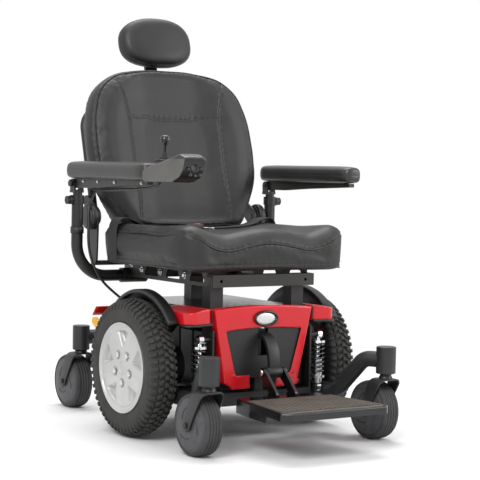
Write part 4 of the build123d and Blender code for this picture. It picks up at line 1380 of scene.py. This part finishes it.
def back_face(x, h):
    """How far the face lies behind its foremost plane: a dished centre between raised bolsters."""
    side = abs(x) / (240 - 30 * soft_step(h, 250, 420))
    dish = 20 * (1 - soft_step(side, 0.34, 0.8)) * (1 - 0.5 * soft_step(h, 300, 430))
    return 6 + dish - 9 * math.exp(-((h - 60) / 70) ** 2) * (1 - min(side, 1.0))


rings = []
for share in (0.2, 0.4, 0.6, 0.75, 0.9):
    rings.append([back_at(p.x, back_face(p.x, p.y) + 3 * soft_step(share, 0.8, 1), p.y)
                  for p in (hub + (q - hub) * share for q in back_rim)])
for share, depth in ((0.965, 8), (0.995, 16), (1.012, 28), (1.015, 52), (1.008, 74), (0.99, 85),
                     (0.94, 90), (0.8, 91), (0.5, 91), (0.25, 91)):
    rings.append([back_at(p.x, depth, p.y) for p in (hub + (q - hub) * share for q in back_rim)])
back_shell = shell_of("backrest_cover", rings, vinyl_smooth)
inflate(back_shell, 0.006, 2.5, 0.005)
finish_shell(back_shell, 5)
back_shell.data.materials.append(vinyl)
seam_x = [(176, 407), (168, 380), (156, 345), (147, 310), (143, 289), (142, 250), (141, 180),
          (141, 100), (141, 52), (142, 4)]


def seam_at(h):
    """How far out the bolster's seam runs at this height."""
    return float(np.interp(h, [p[1] for p in seam_x[::-1]], [p[0] for p in seam_x[::-1]]))


base_y, base_z = back_at(0, 0, 0).y, back_at(0, 0, 0).z
for polygon in back_shell.data.polygons:
    middle = polygon.center
    dy, dz = (middle.y - base_y) * 1000, (middle.z - base_z) * 1000
    w, h = dy * math.cos(LEAN) - dz * math.sin(LEAN), dy * math.sin(LEAN) + dz * math.cos(LEAN)
    if w < 40 and abs(middle.x * 1000) < seam_at(h):
        polygon.material_index = 1
back_seams = []
for sign in (-1, 1):
    back_seams.append([back_at(sign * x, 0, h) for x, h in seam_x])
back_seams.append([back_at(x, 0, 292 - 3 * math.cos(x / 143 * 1.5)) for x in np.linspace(-143, 143, 20)])
for i, line in enumerate(back_seams):
    channel(back_shell, line, 0.0026 if i < 2 else 0.0018, 0.0035, 0.0005)
for i, line in enumerate(back_seams):
    for offset in ((0.0055, ) if i < 2 else (-0.004, 0.004)):
        row = stitches(f"back_stitches_{i}_{offset > 0:d}", back_shell, line,
                       offset * (-1 if i == 1 else 1), thread)
        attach(row, "back")
back_edge = [back_at((hub + (q - hub) * 0.995).x, 13, (hub + (q - hub) * 0.995).y)
             for q in back_rim + back_rim[:1]]
channel(back_shell, back_edge, 0.002, 0.0035, 0.0006)
rear_edge = [back_at((hub + (q - hub) * 1.005).x, 76, (hub + (q - hub) * 1.005).y)
             for q in back_rim + back_rim[:1]]
channel(back_shell, rear_edge, 0.0016, 0.0035, 0.0004)
back_pipe = piping("backrest_piping", back_shell, back_edge, 0.0024, piping_vinyl, 0.0006, True)
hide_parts("backrest")
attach(back_shell, "back")
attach(back_pipe, "back")

# ---- Headrest -------------------------------------------------------------------------------------
# A bean-shaped foam pad with a piped front panel, hung on two steel ears from a flat slotted post.


def bean(turn, grow):
    """The headrest's outline: a full oval, flatter underneath."""
    c, s = math.cos(turn), math.sin(turn)
    flat = 0.86 if s > 0 else 0.7
    return math.copysign(abs(c) ** 0.8, c) * (113 + grow), 525 + math.copysign(abs(s) ** flat,
                                                                               s) * (70 + grow)


rings = []
bean_turns = [2 * math.pi * k / 120 for k in range(120)]
for grow, depth in ((-80, 27), (-50, 27.5), (-28, 29), (-13, 33), (-5, 40), (-1, 50), (0, 62), (-1, 78),
                    (-6, 88), (-16, 94), (-50, 95)):
    ring = []
    for turn in bean_turns:
        x, h = bean(turn, 0)
        if grow < 0:
            x, h = x * (1 + grow / 108), 524 + (h - 524) * (1 + grow / 108 * 1.05)
        wrap = 9 * (x / 108) ** 2 * (1 if depth < 60 else 0.3)
        ring.append(back_at(x, depth + wrap - 3, h))
    rings.append(ring)
head_pad = shell_of("headrest_cover", rings, vinyl_smooth)
inflate(head_pad, 0.0045, 3.0, 0.004)
finish_shell(head_pad, 4)
head_edge = []
for turn in bean_turns + bean_turns[:1]:
    x, h = bean(turn, 0)
    head_edge.append(back_at(x * 0.985, 55 + 6 * (x / 108) ** 2, 524 + (h - 524) * 0.985))
channel(head_pad, head_edge, 0.002, 0.003, 0.0004)
head_pipe = piping("headrest_piping", head_pad, head_edge, 0.0022, piping_vinyl, 0.0006, True)
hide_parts("headrest")
for side, sign in (("left", 1), ("right", -1)):
    ear = [(-9, 82), (-9, 106), (-6, 112), (6, 112), (9, 106), (9, 82)]
    corners = [back_at(sign * x, w, 522 + h) for x in (16, 20.5) for h, w in ear]
    n = len(ear)
    sides = [(i, (i + 1) % n, n + (i + 1) % n, n + i) for i in range(n)]
    ear_piece = make_object(f"headrest_ear_{side}", corners,
                            [tuple(range(n)), tuple(range(2 * n - 1, n - 1, -1))] + sides, [black_coat])
    fix_normals(ear_piece)
    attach(ear_piece, "headrest")
tilt_pin = [(-0.024, 0.0), (-0.024, 0.0062), (-0.0205, 0.0068), (-0.0205, 0.0035), (0.0205, 0.0035),
            (0.0205, 0.0068), (0.024, 0.0062), (0.024, 0.0)]
tilt_bolt = make_object("headrest_tilt_bolt", *spin(tilt_pin, back_at(0, 104, 522), 24), [zinc])
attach(tilt_bolt, "headrest")
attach(head_pad, "headrest")
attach(head_pipe, "headrest")

# ---- Arm pads -------------------------------------------------------------------------------------
# Self-skinned polyurethane foam on a steel strip: a satin black skin, rounded ends, and the parting
# line of its mould half-way up.

pu_skin = grained_abs("self_skinned_polyurethane", "#232221", "#2d2c2b", 0.36)


def arm_pad(side, sign):
    section = [(0, -22), (20, -22), (27, -19), (30, -11), (30.4, 0), (30, 9), (26, 18), (16, 21.6),
               (0, 22.4)]
    loop = section + [(-x, z) for x, z in section[-2:0:-1]]
    loop = rounded(loop, 5, 3)
    rings = []
    for y, share in ((-150, 0.25), (-149, 0.55), (-146, 0.74), (-140, 0.87), (-130, 0.955), (-116, 1.0),
                     (-40, 1.0), (60, 0.985),
                     (160, 1.0), (250, 1.0), (259, 0.96), (264.5, 0.87), (266.5, 0.7), (267, 0.4)):
        rings.append([at(sign * 312 + x * share, y, 681 + z * (0.5 + 0.5 * share)) for x, z in loop])
    pad = shell_of(f"arm_pad_cover_{side}", rings, pu_skin)
    inflate(pad, 0.004, 2.0, 0.0015)
    finish_shell(pad, 3)
    line = [at(sign * 312 + s * 31, y, 680) for s,
            y in [(1, y) for y in range(255, -130, -20)] + [(0.75, -146), (0, -151), (-0.75, -146)]
            + [(-1, y) for y in range(-125, 256, 20)]]
    channel(pad, line, 0.0009, 0.0014)
    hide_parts(f"arm_pad_{side}")
    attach(pad, f"armrest_{side}")


arm_pad("left", 1)
arm_pad("right", -1)

# ---- Controller -----------------------------------------------------------------------------------
# A two-colour moulded wedge at the end of the right arm: warm grey top shell with a dark smooth rim,
# a black front face with its key pad and charger socket, and a rubber boot round the stick.

grey_shell = grained_abs("moulded_warm_grey_abs", "#4c4b47", "#585752", 0.38)
rim_black = grained_abs("smooth_dark_rim_abs", "#1f1f1f", "#292929", 0.24)


def controller_shell():
    """Side profile of the wedge carried across it, narrower and rounder towards its edges."""
    profile = rounded([(-150, 655), (-150, 684), (-185, 697), (-225, 703), (-262, 712), (-318, 726),
                       (-347, 717),
                       (-340, 690), (-322, 668), (-290, 656)], 8, 4)
    rings = []
    middle_y, middle_z = -235, 684
    for x, share in ((-33, 0.84), (-32, 0.9), (-29.5, 0.955), (-25, 0.985), (-18, 1.0), (0, 1.0),
                     (18, 1.0), (25, 0.985),
                     (29.5, 0.955), (32, 0.9), (33, 0.84)):
        ring = []
        for a, b in profile:
            narrow = 1 - 0.1 * soft_step(-a, 300, 346)
            ring.append(at(-310 + x * narrow, middle_y + (a - middle_y) * (0.97 + 0.03 * share),
                           middle_z + (b - middle_z) * share))
        rings.append(ring)
    return shell_of("controller_shell", rings, grey_shell)


shell = controller_shell()
well_tool = make_object("well",
                        *prism([(-310 + 20.5 * math.cos(math.pi * k / 24),
                                 -202 + 20.5 * math.sin(math.pi * k / 24)) for k in range(48)], "z",
                                 681, 760))
cut(shell, well_tool)
lean = Vector((0, -1, 0.19)).normalized()
socket_mouth = at(-310, -341, 692)
bore_ring = []
for reach in (-0.014, 0.03):
    for k in range(40):
        turn = 2 * math.pi * k / 40
        bore_ring.append(socket_mouth + lean * reach + 0.0082 * (math.cos(turn) * Vector((1, 0,
                0)) + math.sin(turn) * lean.cross(Vector((1, 0, 0)))))
bore = make_object("bore", bore_ring,
                   [tuple(range(40)), tuple(range(79, 39, -1))] + [(k, (k + 1) % 40, 40 + (k + 1) % 40,
                                                                    40 + k) for k in range(40)])
fix_normals(bore)
cut(shell, bore)
mould(shell, 0.0011, 6)
shell.data.materials.clear()
for material in (grey_shell, gloss_abs, rim_black):
    shell.data.materials.append(material)
for polygon in shell.data.polygons:
    middle = polygon.center
    y, z = (middle.y - axle_y) * 1000, middle.z * 1000
    x = abs(middle.x * 1000 + 310)
    polygon.use_smooth = True
    front = y < -289 and (polygon.normal.y < -0.3 or polygon.normal.z < -0.5) and z < 713
    if front and x < 30.5:
        polygon.material_index = 1
    elif z > 712 and y < -262:
        polygon.material_index = 2
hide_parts("controller_body")
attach(shell, "armrest_right")

socket_place = lean.cross(Vector((1, 0, 0)))


def on_face(u, v, out=0.0):
    """A place on the controller's front face: across, up it from the socket, and out of it."""
    return socket_mouth + Vector((u / 1000, 0,
                                  0)) - socket_place * (v / 1000) + lean * (out / 1000 + 0.0004)


def pill(name, u, v, length, radius, height, material):
    """A raised key with round ends, standing on the front face."""
    outline = []
    for k in range(24):
        turn = 2 * math.pi * k / 24
        outline.append((u + math.copysign(length / 2 - radius,
                math.cos(turn)) * (length > 2 * radius) + radius * math.cos(turn),
                v + radius * math.sin(turn)))
    rings = [[on_face(a, b, -1.0) for a, b in outline], [on_face(a, b, height * 0.7) for a, b in outline]]
    rings.append([on_face(u + (a - u) * 0.9, v + (b - v) * 0.9, height) for a, b in outline])
    key = shell_of(name, rings, material)
    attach(key, "armrest_right")


ring_rows = []
for r, out in ((8.3, -1.5), (11.5, 0.2), (11.5, 1.3), (9.6, 1.9), (8.3, 1.2), (8.1, -6.0), (0.1, -6.0)):
    ring_rows.append([socket_mouth + lean * (out / 1000) + (r / 1000)
                      * (math.cos(2 * math.pi * k / 48) * Vector((1, 0,
                              0)) + math.sin(2 * math.pi * k / 48) * socket_place) for k in range(48)])
socket_collar = shell_of("charger_socket_collar", ring_rows, black_abs)
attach(socket_collar, "armrest_right")
for i, (u, v, length, radius) in enumerate(((-13, 17, 9, 4), (0, 19, 9, 4), (13, 17, 9, 4),
                                            (-17, 3, 8, 3.4), (17, 3, 8, 3.4))):
    pill(f"controller_key_{i}", u, v, length, radius, 1.4, black_abs)

# ---- Joystick -------------------------------------------------------------------------------------
# A pleated rubber boot between the well's rim and the stick, with a round ball knob on top.


def turned_rings(profile, centre, count=48):
    """Rings of a turned shape about an upright axis; profile gives radius and height in mm."""
    return [[centre + Vector((r * math.cos(2 * math.pi * k / count),
                              r * math.sin(2 * math.pi * k / count), z)) / 1000 for k in range(count)]
            for r, z in profile]


pivot = at(-310, -202, 0)
collar = turned_rings([(19.8, 706), (24.2, 706), (24.4, 709.5), (23, 711.5), (20.5, 711.5),
                       (19.8, 709)], pivot)
collar = make_object(
    "joystick_collar", [p for ring in collar for p in ring],
    [(i * 48 + k, i * 48 + (k + 1) % 48, (i + 1) % 6 * 48 + (k + 1) % 48, (i + 1) % 6 * 48 + k)
     for i in range(6) for k in range(48)], [black_abs])
fix_normals(collar)
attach(collar, "armrest_right")
boot_profile = [(14.0, 707), (14.6, 710.5), (13.6, 712.6), (14.0, 714.4), (12.8, 715.4), (12.2, 714.6),
                (11.2, 716.0), (11.4, 717.8), (9.4, 719.2),
                (8.6, 718.2), (7.4, 720.4), (7.6, 722.6), (6.0, 724.6), (5.6, 730), (4.6, 731), (4.6, 709)]
boot_rubber = moulded_rubber("bellows_rubber", "#171717", "#212121", 700.0)
boot = shell_of("joystick_boot", turned_rings(boot_profile, pivot), boot_rubber)
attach(boot, "joystick")
stick_profile = [(0.1, 706), (4.4, 706), (4.4, 736), (5.2, 738), (5.4, 742), (7.2, 746), (10.4, 750),
                 (12.2, 754), (12.8, 758.5), (12.0, 763.5),
                 (9.6, 767.4), (6.0, 769.6), (2.4, 770.3), (0.1, 770.4)]
knob_rubber = grained_abs("polished_ball_knob_resin", "#121212", "#191919", 0.16)
knob = shell_of("joystick_knob", turned_rings(stick_profile, pivot), knob_rubber)
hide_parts("joystick")
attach(knob, "joystick")
dress("joystick_gimbal", black_abs)

# ---- Lap belt -------------------------------------------------------------------------------------
# Black polyester webbing, bolted under the seat at both sides and laid on the cushion, with a
# moulded push-button buckle at one end and a pressed steel tongue at the other.


def polyester_webbing():
    """Ribbed webbing: fine ribs across its width, 1.3 mm apart here where real ones are finer."""
    material, tree, shader, place = begin("woven_polyester_webbing", Roughness=0.72)
    ribs = add(tree, "ShaderNodeTexWave", {"bands_direction": "DIAGONAL"},
               {"Scale": 120.0, "Distortion": 0.4, "Vector": place})
    fuzz = add(tree, "ShaderNodeTexNoise", inputs={"Scale": 700.0, "Detail": 3.0, "Vector": place})
    tree.links.new(ramp(tree, fuzz.outputs["Fac"],
                        [(0.35, linear("#1a1a1b")), (0.7, linear("#2a2a2b"))]), shader.inputs["Base Color"])
    bump(tree, shader, ribs.outputs["Fac"], 0.5, 0.0004)
    return material


webbing = polyester_webbing()


def strap(name, middle, width, thickness, material):
    """A flat strap along these points; its width lies along the chair."""
    places = [at(*p) for p in middle]
    rings = []
    for i, place in enumerate(places):
        along = (places[min(i + 1, len(places) - 1)] - places[max(i - 1, 0)]).normalized()
        across = Vector((0, 1, 0))
        out = along.cross(across).normalized() * thickness / 2000
        wide = across * width / 2000
        rings.append([place - wide - out, place - wide * 0.97 - out * 1.3,
                      place + wide * 0.97 - out * 1.3, place + wide - out,
                      place + wide + out, place + wide * 0.97 + out * 1.3,
                      place - wide * 0.97 + out * 1.3, place - wide + out])
    return shell_of(name, rings, material)


def belt_half(side, sign):
    rise = [(254, 154, 444), (255, 154, 470), (256, 154, 500), (256.5, 154, 528), (253, 154, 546),
            (243, 154, 557), (228, 154, 558), (205, 154, 551)]
    over = [(176, 152, 546), (140, 150, 542), (100, 146, 541), (66, 140, 542), (40, 134, 544)]
    smooth_path = []
    for x, y, z in rise + over:
        smooth_path.append(Vector((sign * x, y, z)))
    lay = on_surface(cushion, [at(*p) for p in smooth_path[8:]])
    for i, (place, out) in enumerate(lay):
        place = place + out * 0.003
        smooth_path[8 + i] = Vector((place.x * 1000, (place.y - axle_y) * 1000, place.z * 1000))
    path = dense(smooth_path, 6.0)
    for _ in range(8):
        path = [path[0]] + [(path[i - 1] + path[i] * 2 + path[i + 1]) / 4
                            for i in range(1, len(path) - 1)] + [path[-1]]
    piece = strap(f"lap_belt_{side}", [tuple(p) for p in path], 44, 1.8, webbing)
    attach(piece, "base")
    return piece, path[-1]


belt_left, belt_end_left = belt_half("left", 1)
_, belt_end_right = belt_half("right", -1)
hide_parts("lap_belt")
steel = brushed_plate()
steel.name = "pressed_stainless_tongue"
tongue_outline = [(38, 112), (38, 156), (26, 156), (22, 146), (2, 144), (2, 124), (22, 122), (26, 112)]
tongue = make_object("belt_tongue",
                     *prism([(belt_end_left.x - 38 + x - 4, y) for x, y in tongue_outline], "z",
                            belt_end_left.z - 1, belt_end_left.z + 1.4), [steel])
buckle_outline = rounded([(-44, 108), (-44, 158), (12, 154), (18, 146), (18, 120), (12, 112)], 8)
buckle = make_object("belt_buckle",
                     *prism([(belt_end_right.x + 30 + x, y) for x, y in buckle_outline], "z",
                            belt_end_right.z - 5, belt_end_right.z + 11), [black_abs])
button = make_object("belt_button",
                     *prism(rounded([(belt_end_right.x + 24, 121), (belt_end_right.x + 24, 147),
                                     (belt_end_right.x + 42, 145),
                                                    (belt_end_right.x + 42, 123)], 3), "z",
                                                    belt_end_right.z + 9, belt_end_right.z + 12.2), [red])
for each, edge in ((tongue, 0.4), (buckle, 3.0), (button, 0.8)):
    fix_normals(each)
    soft = each.modifiers.new("moulded_edges", "BEVEL")
    soft.width = edge / 1000
    soft.segments = 3
    soft.limit_method = "ANGLE"
    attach(each, "base")
